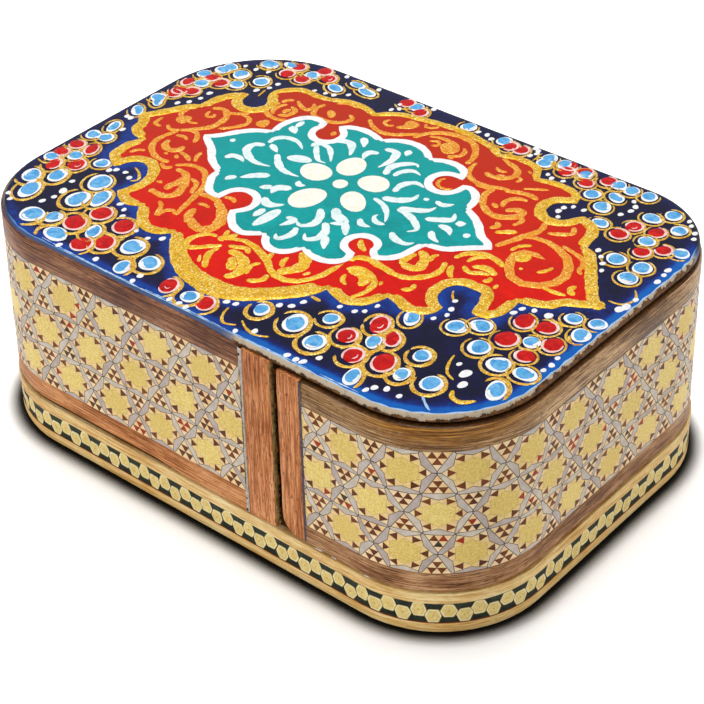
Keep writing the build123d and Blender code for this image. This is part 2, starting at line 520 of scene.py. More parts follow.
def make_light():
    """A soft white studio: a large lamp overhead and paler ones at the front."""
    world = bpy.data.worlds.new("studio")
    scene.world = world
    world.use_nodes = True
    tree = world.node_tree
    background = tree.nodes["Background"]
    background.inputs["Color"].default_value = (1, 1, 1, 1)
    rays = tree.nodes.new("ShaderNodeLightPath")
    spread = tree.nodes.new("ShaderNodeMapRange")
    spread.inputs["To Min"].default_value = 0.16
    spread.inputs["To Max"].default_value = 1.0
    total = None
    for kind in ("Is Camera Ray", "Is Glossy Ray", "Is Transmission Ray"):
        if total is None:
            total = rays.outputs[kind]
            continue
        add = tree.nodes.new("ShaderNodeMath")
        add.operation = "ADD"
        add.use_clamp = True
        tree.links.new(total, add.inputs[0])
        tree.links.new(rays.outputs[kind], add.inputs[1])
        total = add.outputs[0]
    tree.links.new(total, spread.inputs["Value"])
    tree.links.new(spread.outputs["Result"], background.inputs["Strength"])
    lamps = (
        ("overhead", (-0.07, 0.085, 0.66), 0.24, 3.25),
        ("front_left", (-0.47, -0.88, 0.11), 0.20, 3.4),
        ("front_right", (0.90, -0.42, 0.11), 0.20, 2.0),
        ("back_right", (0.54, 0.80, 0.14), 0.24, 1.6),
        ("back_left", (-0.90, 0.26, 0.11), 0.20, 1.1),
    )
    for name, position, size, power in lamps:
        data = bpy.data.lights.new(name, "AREA")
        data.size = size
        data.energy = power
        lamp = bpy.data.objects.new(name, data)
        lamp.location = position
        aim = Vector((0, 0, 0.02)) - Vector(position)
        lamp.rotation_euler = aim.to_track_quat("-Z", "Y").to_euler()
        scene.collection.objects.link(lamp)


def make_floor():
    shader = Shader("floor_white", roughness=0.9, specular_ior_level=0.1)
    # Painted contact shadow: the floor's colour is darkened by ambient occlusion within a few mm of the box.
    corner = shader.node("AmbientOcclusion", {"Distance": 3.7 * MM}, samples=16).outputs["AO"]
    shader.colour(shader.ramp(corner, (0.50, 0.003), (0.62, 0.02), (0.78, 0.5), (0.95, 0.93)))
    # Painted glow: to camera, glossy and transmission rays the floor also gives off light, more far from the box's
    # middle and none right beside the box.
    rays = shader.node("LightPath")
    away = shader.node("VectorMath", {0: shader.place((1, 1, 1))}, operation="LENGTH").outputs["Value"]
    lift = shader.ramp(shader.math("MULTIPLY", away, 0.002), (0.108, 0.52), (0.19, 0.6), (0.5, 0.75), (1.0, 1.0))
    lift = shader.math("MULTIPLY", lift, shader.ramp(corner, (0.66, 0.0), (0.80, 0.3), (0.97, 1.0)))
    seen = shader.math("ADD", rays.outputs["Is Camera Ray"], rays.outputs["Is Glossy Ray"])
    seen = shader.math("ADD", seen, rays.outputs["Is Transmission Ray"])
    glow = shader.math("MULTIPLY", shader.math("MINIMUM", seen, 1.0), lift)
    shader.surface.inputs["Emission Color"].default_value = (1, 1, 1, 1)
    shader.feed(shader.surface.inputs["Emission Strength"], glow)
    mesh = bpy.data.meshes.new("floor")
    mesh.from_pydata([(-3, -3, 0), (3, -3, 0), (3, 3, 0), (-3, 3, 0)], [], [(0, 1, 2, 3)])
    mesh.materials.append(shader.material)
    floor_piece = bpy.data.objects.new("floor", mesh)
    scene.collection.objects.link(floor_piece)


# Wooden strips

def make_base(look):
    mesh = Mesh()
    sweep(mesh, 0, PERIMETER, bar(0, 1.95, -0.9, 0.3, 0.12, 0.6, 0.03, 1.0), look["base_tan"], closed=True)
    mesh.build("base_tan_strip", "case", ["base_bottom_strip"])
    line = Mesh()
    sweep(line, 0, PERIMETER, bar(1.93, 2.12, -0.9, 0.27, 0.02, 0.02), look["red_line"], closed=True)
    line.build("base_red_line", "case")
    top = Mesh()
    sweep(top, 0, PERIMETER, bar(5.68, BASE_TOP, -0.9, 0.3, 0.35, 0.06, 0.04, 2.0), look["base_pale"], closed=True)
    top.build("base_pale_strip", "case", ["base_top_strip"])
    band = Mesh()
    sweep(band, 0, PERIMETER, bar(2.1, 5.7, -0.9, 0.2, 0.02, 0.02), look["base_green"], closed=True)
    band.build("base_band_ground", "case", ["base_inlay_band"])


def make_chain(look):
    """Hexagons in a zigzag round the base, each with a pale rim and a dot."""
    mesh = Mesh()
    count = 142
    dice = random.Random(11)
    for index in range(count):
        u = 1.75 + index * PERIMETER / count + dice.uniform(-0.07, 0.07)
        up = 1 if index % 2 == 0 else -1
        level = 3.9 + up * 0.5 + dice.uniform(-0.05, 0.05)
        wide, tall = dice.uniform(1.2, 1.32), dice.uniform(1.2, 1.3)
        narrow, sag = dice.uniform(0.44, 0.58), dice.uniform(-0.05, 0.2)
        near, far = narrow, dice.uniform(0.54, 0.66)
        corners = [(1, -sag * up), (near, up), (-near, up), (-1, -sag * up), (-far, -up), (far, -up)]
        corners = [(a + dice.uniform(-0.05, 0.05), b + dice.uniform(-0.05, 0.05)) for a, b in corners]
        if up < 0:
            corners = corners[::-1]
        step = 0.0 if up > 0 else 0.03
        layers = (
            (1.04, 0.23 + step, look["tile_edge"]),
            (0.97, 0.24 + step, look["tile_cream"]),
            (0.78, 0.25 + step, look["tile_gold"]),
            (0.09, 0.258 + step, look["tile_dot"]),
        )
        for scale, out, material in layers:
            ring = []
            for k, (a, b) in enumerate(corners):
                (c, d), (e, f) = corners[k - 1], corners[(k + 1) % 6]
                for p, q in (
                    (a + (c - a) * 0.16, b + (d - b) * 0.16),
                    (a + (c + e - 2 * a) * 0.03, b + (d + f - 2 * b) * 0.03),
                    (a + (e - a) * 0.16, b + (f - b) * 0.16),
                ):
                    height = level + q * tall * scale
                    ring.append((u + p * wide * scale, min(5.66, max(2.16, height))))
            points = [place(p, q, out) for p, q in ring]
            normals = [(*outline(p)[1], 0) for p, q in ring]
            mesh.add(points, [list(range(len(ring)))], material, normals)
    mesh.build("base_hexagon_chain", "case", ["base_hexagon_tiles"])


def case_foot(u):
    """Lower edge of the case's bottom strip: at the front left it rises and a dark line shows under it."""
    u = (u + BACK) % PERIMETER - BACK
    return 7.66 + 0.42 * smooth((-3 - u) / 5)


def case_brow(u):
    """Upper edge of the case's top strip: at the front left it laps up over the lid's edge."""
    u = (u + BACK) % PERIMETER - BACK
    return WALL_TOP + 0.62 * smooth((9 - u) / 5) * smooth((u + 66) / 10)


def make_strips(look):
    left, right = BACK - CASE_POST - PERIMETER, 10.1
    mesh = Mesh()
    sweep(mesh, left, right, bar(case_foot, 11.6, -1.2, 0.0, 0.12, 0.35, 0.05, 0.3), look["case_bottom"])
    mesh.build("case_bottom_band", "case", ["case_bottom_strip"])
    line = Mesh()
    # A dark brown strip set back under the bottom strip, seen as a dark line where that strip rises at the front left.
    sweep(line, left, CASE_POST, bar(7.6, 8.3, -1.2, -0.32, 0.05, 0.05), look["foot_line_dark"])
    line.build("case_foot_line", "case")
    top = Mesh()
    sweep(top, left, right, bar(33.8, case_brow, -0.86, 0.0, 0.2, 0.12, 0.04, 0.9), look["case_top"])
    top.build("case_top_band", "case", ["case_top_strip"])
    cap_left, cap_right = CAP_POST + 0.2, BACK - CAP_POST
    bottom = Mesh()
    sweep(bottom, cap_left, cap_right, bar(7.66, 11.2, -1.2, 0.0, 0.1, 0.3, 0.05, 1.7), look["cap_bottom"])
    bottom.build("cap_bottom_band", "drawer", ["cap_bottom_strip"])
    crown = Mesh()
    # The upper rounding and top face of the cap's strip, under the lid's edge, are dark amber-brown.
    faces = [look["cap_top"]] * 5 + [look["cap_ledge"]] * 2 + [look["cap_top"]]
    section = bar(32.7, CAP_TOP, -1.2, 0.0, 0.8, 0.1, 0.06, 2.6)
    sweep(crown, cap_left, cap_right, section, look["cap_top"], face_materials=faces)
    crown.build("cap_top_band", "drawer", ["cap_top_strip"])


def uneven(z, seed, size):
    return size * (sin(z * 0.9 + seed) + 0.7 * sin(z * 2.3 + 2 * seed) + 0.5 * sin(z * 5.1 + 3 * seed)) / 2.2


def make_glue(look):
    """Glue squeezed out beside the posts, with a few small holes in it."""
    for body, name, near, far, low, high, material in (
        ("case", "case_post_glue", 9.95, CASE_POST + 0.1, 7.7, WALL_TOP, look["glue_pale"]),
        ("drawer", "cap_post_glue", CAP_POST - 0.1, 21.85, 8.1, CAP_TOP - 0.1, look["glue_grey"]),
    ):
        mesh = Mesh()
        steps = 60
        rows = []
        for i in range(steps + 1):
            z = low + (high - low) * i / steps
            a, b = near, far
            if body == "case":
                wide = 1.0 if z > 33.6 or z < 11.7 else 0.35
                a = CASE_POST - 0.2 - 0.45 * wide + uneven(z, 1.0, 0.12)
            else:
                b = CAP_POST + 0.42 + uneven(z, 2.0, 0.16)
            rows.append([place(a, z, -0.3), place(a + 0.06, z, 0.012), place((a + b) / 2, z, 0.03 + uneven(z, 4, 0.02)), place(b, z, 0.015)])
        points = [p for row in rows for p in row]
        faces = []
        for i in range(steps):
            for k in range(3):
                faces.append([i * 4 + k, i * 4 + k + 1, (i + 1) * 4 + k + 1, (i + 1) * 4 + k])
        mesh.add(points, faces, material)
        if body == "case":
            # The small holes are flat near-black discs: painted shade standing in for their depth.
            for u, z, r in ((10.25, 36.1, 0.26), (10.3, 10.2, 0.22), (10.3, 8.1, 0.28)):
                ring = [(u + r * 0.7 * cos(a * pi / 6), z + r * sin(a * pi / 6)) for a in range(12)]
                mesh.add([place(p, q, 0.05) for p, q in ring], [list(range(12))], look["hole"])
        mesh.build(name, body, sharp=60)
    specks = Mesh()
    for index, (u, z) in enumerate(((23.6, 7.78), (24.0, 7.74), (24.3, 7.8), (26.6, 7.75), (27.1, 7.78), (33, 7.7))):
        ring = [(u + 0.16 * cos(a * pi / 4) * (1 + index % 3), z + 0.1 * sin(a * pi / 4)) for a in range(8)]
        specks.add([place(p, q, 0.02) for p, q in ring], [list(range(8))], look["glue_white"])
    specks.build("cap_foot_glue_specks", "drawer")


def make_posts(look):
    """Flat strips of wood beside the slit, at the front and the back, with slightly uneven edges."""
    for body, name, a, b, low, high in (
        ("case", "case", CASE_POST, CASE_END, BASE_TOP + 0.02, WALL_TOP),
        ("drawer", "cap", CAP_START, CAP_POST, CAP_BOTTOM, CAP_TOP),
    ):
        for side, label in ((-1, "front"), (1, "back")):
            steps = 40
            outer = [(a + uneven(low + (high - low) * i / steps, 1 + a, 0.07), low + (high - low) * i / steps) for i in range(steps + 1)]
            if name == "cap":
                r = 3.0
                outer = [p for p in outer if p[1] > low + r]
                toe = [(a + r - r * cos(t * pi / 20), low + r - r * sin(t * pi / 20)) for t in range(10, -1, -1)]
                outer = toe + outer
            outer += [(b + uneven(low + (high - low) * i / steps, 5 + b, 0.07), low + (high - low) * i / steps) for i in range(steps, -1, -1)]
            count = len(outer)
            middle = (sum(p[0] for p in outer) / count, sum(p[1] for p in outer) / count)
            loops = []
            for depth, shrink in ((1.2, 0.0), (0.14, 0.0), (0.04, 0.05), (0.0, 0.15)):
                loop = []
                for x, z in outer:
                    dx, dz = middle[0] - x, middle[1] - z
                    shift_x = max(-shrink, min(shrink, dx))
                    shift_z = max(-shrink, min(shrink, dz)) if abs(dz) > 13 else 0
                    y = side * (HALF_Y - depth - lean(x if name == "case" else 20, z))
                    loop.append((x + shift_x, y, z + shift_z))
                loops.append(loop)
            points = [p for loop in loops for p in loop]
            faces = []
            for k in range(3):
                for i in range(count):
                    j = (i + 1) % count
                    faces.append([k * count + i, k * count + j, (k + 1) * count + j, (k + 1) * count + i])
            faces.append([3 * count + i for i in range(count)])
            faces.append([i for i in range(count)][::-1])
            if side < 0:
                faces = [f[::-1] for f in faces]
            mesh = Mesh()
            mesh.add(points, faces, look["post"])
            mesh.build(name + "_" + label + "_post_strip", body, [name + "_" + label + "_post"], sharp=40)


def make_slit_faces(look):
    """The ragged raw edge of the case wall, seen in the slit. Its faces deeper in the slit are painted near black:
    painted shade.
    """
    for side, label in ((-1, "front"), (1, "back")):
        mesh = Mesh()
        rows = []
        steps = 70
        for i in range(steps + 1):
            z = 7.7 + (WALL_TOP - 0.3 - 7.7) * i / steps
            reach = CASE_END + 0.12 + uneven(z, 3.0, 0.12)
            face_y = HALF_Y - lean(0, z)
            deep = 0.85 + uneven(z, 9.0, 0.2)
            rows.append([
                (CASE_END - 0.3, side * (face_y - 0.12), z),
                (reach, side * (face_y - 0.22 + uneven(z, 8.0, 0.06)), z),
                (reach + 0.12 + uneven(z, 5.0, 0.1), side * (face_y - 0.65), z),
                (reach, side * (face_y - deep), z),
                (reach - 0.1, side * (face_y - deep - 0.1), z),
                (CASE_END - 0.2, side * (face_y - 4.3), z),
            ])
        points = [p for row in rows for p in row]
        front, deeper = [], []
        for i in range(steps):
            for k in range(5):
                face = [i * 6 + k, i * 6 + k + 1, (i + 1) * 6 + k + 1, (i + 1) * 6 + k]
                (front if k < 3 else deeper).append(face if side < 0 else face[::-1])
        mesh.add(points, front, look["end_grain"])
        # Painted shade: the faces deeper in the slit take the near-black hole colour.
        mesh.add(points, deeper, look["hole"])
        mesh.build("case_wall_end_" + label, "case", sharp=50)


# Star inlay

def star_inlay(mesh, u0, u1, z0, z1, phase, seed, look):
    """Three rows of stars in hexagons, with triangles of nine small triangles between them."""
    pitch, rows = 9.6, 3
    height = (z1 - z0) / rows
    grey_half = 0.185
    corners, triangles = {}, {}

    def corner(col, row):
        if (col, row) not in corners:
            dice = random.Random(f"{seed} {col} {row}")
            free = 0.0 if row in (0, 2 * rows) else 1.0
            u = phase + col * pitch / 4 + dice.uniform(-0.26, 0.26)
            z = z1 - row * height / 2 + free * dice.uniform(-0.16, 0.16)
            corners[col, row] = (u, z)
        return corners[col, row]

    def triangle(col, row, way):
        """Small triangles' field with its tip at a point where two hexagons touch."""
        key = (col, row, way)
        if key not in triangles:
            names = [(col, row), (col + 1, row + way), (col - 1, row + way)]
            edge = 0.02 if row + way in (0, 2 * rows) else grey_half
            shrunk = inset([corner(*n) for n in names], [grey_half, edge, grey_half])
            triangles[key] = dict(zip(names, shrunk))
        return triangles[key]

    first = floor((u0 - phase) / pitch) - 1
    last = ceil((u1 - phase) / pitch) + 1

    def lay(polygon, material, gap, out=0.0):
        wrap(mesh, polygon, material, out, u0, u1, STOPS, gap)

    for row_index in range(rows):
        row = 2 * row_index + 1
        for k in range(first, last + 1):
            col = 4 * k + 2 * (row_index % 2)
            dice = random.Random(f"{seed} star {col} {row}")
            names = [(col + 2, row), (col + 1, row - 1), (col - 1, row - 1), (col - 2, row), (col - 1, row + 1), (col + 1, row + 1)]
            ring = [corner(*n) for n in names]
            cu = sum(p[0] for p in ring) / 6
            cz = sum(p[1] for p in ring) / 6
            turn = dice.uniform(-0.05, 0.05)

            def toward(p, share):
                return (cu + (p[0] - cu) * share, cz + (p[1] - cz) * share)

            tips, notches, core = [], [], []
            for i in range(6):
                a, b = ring[i], ring[(i + 1) % 6]
                share = dice.uniform(0.82, 0.88) if i in (0, 3) else dice.uniform(0.89, 0.93)
                tips.append(toward(a, share))
                side = ((a[0] + b[0]) / 2, (a[1] + b[1]) / 2)
                notches.append(toward(side, dice.uniform(0.705, 0.755)))
                core.append(toward(side, dice.uniform(0.60, 0.66)))
            gold = look["inlay_gold"][dice.randrange(2)]
            lay(core, gold, 0.012)
            dark = look["inlay_brown"][dice.randrange(2)]
            for i in range(6):
                tip, left, right = tips[i], notches[i - 1], notches[i]
                a = ((left[0] + tip[0]) / 2, (left[1] + tip[1]) / 2)
                b = ((right[0] + tip[0]) / 2, (right[1] + tip[1]) / 2)
                left_in, right_in = core[i - 1], core[i]
                d = ((left_in[0] + right_in[0]) / 2, (left_in[1] + right_in[1]) / 2)
                cream = look["inlay_cream"][dice.randrange(3)]
                other = look["inlay_red"] if dice.random() < 0.04 else dark
                lay([a, tip, b], cream, 0.02)
                lay([left_in, left, a, d], look["inlay_base"][dice.randrange(2)], 0.012)
                lay([d, b, right, right_in], look["inlay_base"][dice.randrange(2)], 0.012)
                lay([a, b, d], other, -0.02, 0.006)
            neighbours = [
                (col + 2, row, -1), (col, row - 2, 1), (col - 2, row, -1),
                (col - 2, row, 1), (col, row + 2, -1), (col + 2, row, 1),
            ]
            for i in range(6):
                a, b = names[i], names[(i + 1) % 6]
                polygon = [tips[i], ring[i]]
                if 0 < neighbours[i][1] < 2 * rows:
                    shrunk = triangle(*neighbours[i])
                    polygon += [shrunk[a], shrunk[b]]
                polygon += [ring[(i + 1) % 6], tips[(i + 1) % 6], notches[i]]
                lay(polygon, look["inlay_grey"][dice.randrange(3)], 0.075)
            for way in (-1, 1):
                shrunk = triangle(col + 2, row, way)
                a, b, c = (shrunk[n] for n in ((col + 2, row), (col + 3, row + way), (col + 1, row + way)))
                roll = dice.random()
                tones = [look["inlay_brown"][dice.randrange(2)]] * 3
                if roll < 0.03:
                    tones = [look["inlay_red"]] * 3
                elif roll < 0.24:
                    tones = [look["inlay_red"], look["inlay_brown"][0], look["inlay_dark"]]
                    dice.shuffle(tones)
                elif roll < 0.28:
                    tones = [look["inlay_dark"]] * 3

                def grid(i, j):
                    return (
                        a[0] + (b[0] - a[0]) * i / 3 + (c[0] - a[0]) * j / 3,
                        a[1] + (b[1] - a[1]) * i / 3 + (c[1] - a[1]) * j / 3,
                    )

                for i in range(3):
                    for j in range(3 - i):
                        cream = look["inlay_cream"][dice.randrange(3)]
                        lay([grid(i, j), grid(i + 1, j), grid(i, j + 1)], cream, 0.03)
                        if i + j < 2:
                            lay([grid(i + 1, j), grid(i + 1, j + 1), grid(i, j + 1)], tones.pop(), -0.02, 0.006)


def make_inlay(look):
    left = BACK - CASE_POST - PERIMETER
    for name, body, u0, u1, z0, z1, phase, node in (
        ("case_star_inlay", "case", left, 10.15, 11.55, 33.85, 3.0, "case_khatam_sheet"),
        ("cap_star_inlay", "drawer", 21.85, BACK - CAP_POST, 11.15, 32.75, 29.3, "cap_khatam_sheet"),
    ):
        mesh = Mesh()
        star_inlay(mesh, u0, u1, z0, z1, phase, name, look)
        piece = mesh.build(name, body, [node])
        ground = Mesh()
        low_u = CAP_POST if body == "drawer" else u0
        high_u = u1 if body == "drawer" else CASE_POST
        sweep(ground, low_u, high_u, bar(z0, z1, -1.2, -0.05, 0.0, 0.0), look["inlay_joint"])
        ground.build(name + "_ground", body)


# Lid

LID_CORNERS = ((49.1, -34.1, 17.1), (49.1, 33.7, 15.6), (-49.1, 33.7, 19.8), (-49.1, -34.1, 17.1))


def lid_loop(inset_by, z, steps=18, straight=1.6):
    """Points round the lid, counterclockwise, drawn in by inset_by."""
    loop = []
    for index, (x, y, r) in enumerate(LID_CORNERS):
        sx, sy = (1 if x > 0 else -1), (1 if y > 0 else -1)
        cx, cy = x - sx * r, y - sy * r
        reach = r - inset_by
        arc = []
        for i in range(steps + 1):
            a = -pi / 2 + index * pi / 2 + pi / 2 * i / steps
            arc.append((cx + reach * cos(a), cy + reach * sin(a), z))
        if loop:
            loop += between(loop[-1], arc[0], straight)
        loop += arc
    return loop + between(loop[-1], loop[0], straight)


def between(a, b, step):
    count = round(max(abs(a[0] - b[0]), abs(a[1] - b[1])) / step)
    return [tuple(p + (q - p) * i / count for p, q in zip(a, b)) for i in range(1, count)]


def distance_to(outline_points):
    """A function that gives the distance from (x, y) to a closed line, below zero inside it."""
    line = np.array(outline_points)
    ends = np.roll(line, -1, 0)
    run = ends - line
    square = np.maximum((run**2).sum(1), 1e-12)

    def measure(x, y):
        p = np.array((x, y))
        t = np.clip(((p - line) * run).sum(1) / square, 0, 1)
        near = np.linalg.norm(line + run * t[:, None] - p, axis=1).min()
        crossing = (line[:, 1] > y) != (ends[:, 1] > y)
        meet = line[:, 0] + (y - line[:, 1]) / np.where(run[:, 1] == 0, 1e-9, run[:, 1]) * run[:, 0]
        inside = np.count_nonzero(crossing & (meet > x)) % 2
        return float(-near if inside else near)
    return measure


def edge_tone(x, y):
    """Colour of the lid's edge: 1 is bare bone at the front right, 0 near black at the left and back.
    On the rounded top edge its lighter tones are blues: a painted highlight.
    """
    front = smooth((-y - 16) / 12)
    bone = smooth((x - 4) / 7)
    right = smooth((x - 40) / 6) * smooth((26 - y) / 6)
    left = 0.52 * front * smooth((x + 44) / 8)
    return max(right, front * bone, left, 0.04)


def make_lid(look):
    mesh = Mesh()
    medallion = distance_to([p for run in closed_outline(OUTER) for p in run[:-1]])
    levels = [(0.0, 37.2, "side"), (0.0, 37.75, "side"), (0.07, 38.0, "side"), (0.2, 38.17, "side")]
    levels += [(0.36, 38.265, "side"), (0.55, LID_TOP, "line"), (0.85, LID_TOP, "field"), (1.5, LID_TOP, "field"), (2.2, LID_TOP, "field")]
    loops = []
    for inset_by, z, part in levels:
        loop = lid_loop(inset_by, z)
        if part == "line":
            loop = [(x * (1 + 0.003 * sin(x * 1.9 + y * 2.3)), y * (1 + 0.004 * sin(x * 2.6 - y)), h) for x, y, h in loop]
        loops.append(loop)
    share = 0.96
    while share > 0.05:
        loops.append([(x * share, y * share, LID_TOP) for x, y, z in loops[8]])
        share -= 0.04
    count = len(loops[0])
    for k, loop in enumerate(loops):
        for i, (x, y, z) in enumerate(loop):
            index = k * count + i
            edge = edge_tone(x, y)
            if k < 6:
                mesh.tones[index] = edge
            else:
                rim = (0.0, 0.0, 0.0, 0.0, 0.0, 0.0, 1.0, 0.95, 0.35)[k] if k < 9 else 0.0
                near = medallion(x, y)
                low = smooth((8 - y) / 14) * 0.75 + 0.25
                halo = 0.62 * low * smooth(1 - near / 3.4) if near > -3 else 0.0
                mesh.tones[index] = max(halo, rim * (0.15 + 0.85 * edge))
    points = [p for loop in loops for p in loop]
    mesh.points += points
    parts = {"side": look["lid_side"], "line": look["lid_line"], "field": look["lid_field"]}
    for k in range(len(loops) - 1):
        part = levels[k + 1][2] if k + 1 < len(levels) else "field"
        slot = mesh.slot(parts[part])
        for i in range(count):
            j = (i + 1) % count
            mesh.faces.append([k * count + i, k * count + j, (k + 1) * count + j, (k + 1) * count + i])
            mesh.slots.append(slot)
    mesh.faces.append([(len(loops) - 1) * count + i for i in range(count)])
    mesh.slots.append(mesh.slot(look["lid_field"]))
    mesh.faces.append(list(range(count))[::-1])
    mesh.slots.append(mesh.slot(look["lid_side"]))
    mesh.build("lid_panel_painted", "case", ["lid_panel"], sharp=50)


def numbers(text):
    return [tuple(float(v) for v in item.split(",")) for item in text.split()]


def spline(points, step=0.35):
    """A smooth open line through points, at about equal steps."""
    if len(points) == 2:
        count = max(2, ceil(hypot(points[1][0] - points[0][0], points[1][1] - points[0][1]) / step))
        (ax, ay), (bx, by) = points
        return [(ax + (bx - ax) * i / count, ay + (by - ay) * i / count) for i in range(count + 1)]
    times = [0.0]
    for a, b in zip(points, points[1:]):
        times.append(times[-1] + max(1e-6, hypot(b[0] - a[0], b[1] - a[1])))
    slopes = []
    last = len(points) - 1
    for i in range(len(points)):
        if 0 < i < last:
            h0, h1 = times[i] - times[i - 1], times[i + 1] - times[i]
            slope = []
            for axis in (0, 1):
                s0 = (points[i][axis] - points[i - 1][axis]) / h0
                s1 = (points[i + 1][axis] - points[i][axis]) / h1
                slope.append((s0 * h1 + s1 * h0) / (h0 + h1))
            slopes.append(tuple(slope))
        else:
            slopes.append(None)
    for end, near in ((0, 1), (last, last - 1)):
        h = times[near] - times[end]
        slopes[end] = tuple(
            1.5 * (points[near][axis] - points[end][axis]) / h - 0.5 * slopes[near][axis] for axis in (0, 1)
        )
    line = []
    for i in range(last):
        h = times[i + 1] - times[i]
        count = max(1, ceil(h / step))
        for k in range(count):
            t = k / count
            a, b = 2 * t**3 - 3 * t**2 + 1, t**3 - 2 * t**2 + t
            c, d = -2 * t**3 + 3 * t**2, t**3 - t**2
            line.append(tuple(
                a * points[i][axis] + b * h * slopes[i][axis] + c * points[i + 1][axis] + d * h * slopes[i + 1][axis]
                for axis in (0, 1)
            ))
    return line + [points[-1]]


def bite(centre_x, centre_y, radius, before, after):
    """Points round a circular bite, counterclockwise from one neighbour to the other."""
    a0 = atan2(before[1] - centre_y, before[0] - centre_x)
    a1 = atan2(after[1] - centre_y, after[0] - centre_x)
    while a1 < a0 + radians(120):
        a1 += 2 * pi
    near, far = a0 + 0.5, a1 - 0.5
    count = max(4, ceil((far - near) / 0.5))
    return [
        (centre_x + radius * cos(near + (far - near) * i / count), centre_y + radius * sin(near + (far - near) * i / count))
        for i in range(count + 1)
    ]


def closed_outline(text):
    """Runs of smooth line between the corners of an outline. ! marks a corner, @ a bite."""
    items = []
    for item in text.split():
        kind = "bite" if item[0] == "@" else "corner" if item[-1] == "!" else "point"
        items.append((kind, tuple(float(v) for v in item.strip("@!").split(","))))
    places = []
    for index, (kind, values) in enumerate(items):
        if kind == "bite":
            before = items[index - 1][1]
            after = items[(index + 1) % len(items)][1]
            places += [("point", p) for p in bite(*values, before, after)]
        else:
            places.append((kind, values))
    start = next(i for i, (kind, p) in enumerate(places) if kind == "corner")
    places = places[start:] + places[:start + 1]
    runs, run = [], [places[0][1]]
    for kind, p in places[1:]:
        run.append(p)
        if kind == "corner":
            runs.append(spline(run))
            run = [p]
    return runs


def drawn_in(points, distance):
    """A closed clockwise outline moved inwards, without the folds at its corners."""
    line = np.array(points)
    count = len(line)
    tangent = np.roll(line, -1, 0) - np.roll(line, 1, 0)
    tangent /= np.maximum(np.linalg.norm(tangent, axis=1), 1e-9)[:, None]
    moved = line + distance * np.stack([tangent[:, 1], -tangent[:, 0]], 1)
    kept = []
    starts, ends = line, np.roll(line, -1, 0)
    run = ends - starts
    square = np.maximum((run**2).sum(1), 1e-12)
    for p in moved:
        t = np.clip(((p - starts) * run).sum(1) / square, 0, 1)
        nearest = np.linalg.norm(starts + run * t[:, None] - p, axis=1).min()
        if nearest > distance * 0.96:
            kept.append((float(p[0]), float(p[1])))
    return kept


def fill(mesh, points, z, material):
    """A flat painted area."""
    flat = [Vector((x, y, 0)) for x, y in points]
    triangles = tessellate_polygon([flat])
    area_up = []
    for a, b, c in triangles:
        normal = (flat[b] - flat[a]).cross(flat[c] - flat[a]).z
        area_up.append((a, b, c) if normal > 0 else (a, c, b))
    mesh.add([(x, y, z) for x, y in points], area_up, material)


def stroke(mesh, points, width, z, material, height=0.07, start=0.5, end=0.5, belly=0.0, wobble=0.0, seed=0):
    """A crowned brush stroke. start and end are its widths there as shares; belly swells its middle."""
    line = spline(points, 0.3) if len(points) < 12 else points
    lengths = [0.0]
    for a, b in zip(line, line[1:]):
        lengths.append(lengths[-1] + hypot(b[0] - a[0], b[1] - a[1]))
    total = lengths[-1]
    dice = random.Random(seed)
    phase = dice.uniform(0, 6)
    rows, normals = [], []
    for i, (x, y) in enumerate(line):
        before, after = line[max(0, i - 1)], line[min(len(line) - 1, i + 1)]
        tx, ty = after[0] - before[0], after[1] - before[1]
        size = hypot(tx, ty) or 1e-9
        nx, ny = -ty / size, tx / size
        s = lengths[i]
        t = s / total
        share = start + (end - start) * t + belly * sin(pi * t)
        share *= 1 + wobble * sin(s * 2.3 + phase) + wobble * 0.6 * sin(s * 5.1 + 2 * phase)
        half = width / 2 * share
        for rest, at_end in ((s, start), (total - s, end)):
            blunt = max(0.12, width / 2 * at_end)
            if rest < blunt:
                half = min(half, sqrt(max(0.0, 1 - ((blunt - rest) / blunt) ** 2)) * blunt + 0.01)
        rise = height * min(1.0, half / (width * 0.35) if width else 1)
        rows.append([
            (x + nx * half * f, y + ny * half * f, z + rise * g)
            for f, g in ((-1, 0), (-0.82, 0.62), (0, 1), (0.82, 0.62), (1, 0))
        ])
    points3 = [p for row in rows for p in row]
    faces = []
    for i in range(len(rows) - 1):
        for k in range(4):
            faces.append([i * 5 + k, (i + 1) * 5 + k, (i + 1) * 5 + k + 1, i * 5 + k + 1])
    mesh.add(points3, faces, material)


def oval(mesh, x, y, w, h, z, material, tilt=0.0, height=0.06, seed=0, rough_edge=0.05, point=0.0):
    """A domed blob of paint, w across and h tall before it is tilted."""
    dice = random.Random(seed)
    p1, p2 = dice.uniform(0, 6), dice.uniform(0, 6)
    count = 18
    points = [(x, y, z + height)]
    for ring, rise in ((0.55, 0.9), (0.86, 0.6), (1.0, 0.0)):
        for i in range(count):
            a = 2 * pi * i / count
            r = ring * (1 + rough_edge * sin(2 * a + p1) + rough_edge * 0.7 * sin(3 * a + p2))
            dx, dy = w / 2 * cos(a) * r, h / 2 * sin(a) * r * (1 + point * abs(sin(a)) ** 3)
            points.append((x + dx * cos(tilt) - dy * sin(tilt), y + dx * sin(tilt) + dy * cos(tilt), z + height * rise))
    faces = [[0, 1 + i, 1 + (i + 1) % count] for i in range(count)]
    for k in range(2):
        for i in range(count):
            j = (i + 1) % count
            faces.append([1 + k * count + i, 1 + (k + 1) * count + i, 1 + (k + 1) * count + j, 1 + k * count + j])
    mesh.add(points, faces, material)


def loop_line(x, y, w, h, tilt, a0=0.0, a1=2 * pi, count=28):
    """Points along an ellipse from angle a0 to a1."""
    line = []
    for i in range(count + 1):
        a = a0 + (a1 - a0) * i / count
        dx, dy = w / 2 * cos(a), h / 2 * sin(a)
        line.append((x + dx * cos(tilt) - dy * sin(tilt), y + dx * sin(tilt) + dy * cos(tilt)))
    return line


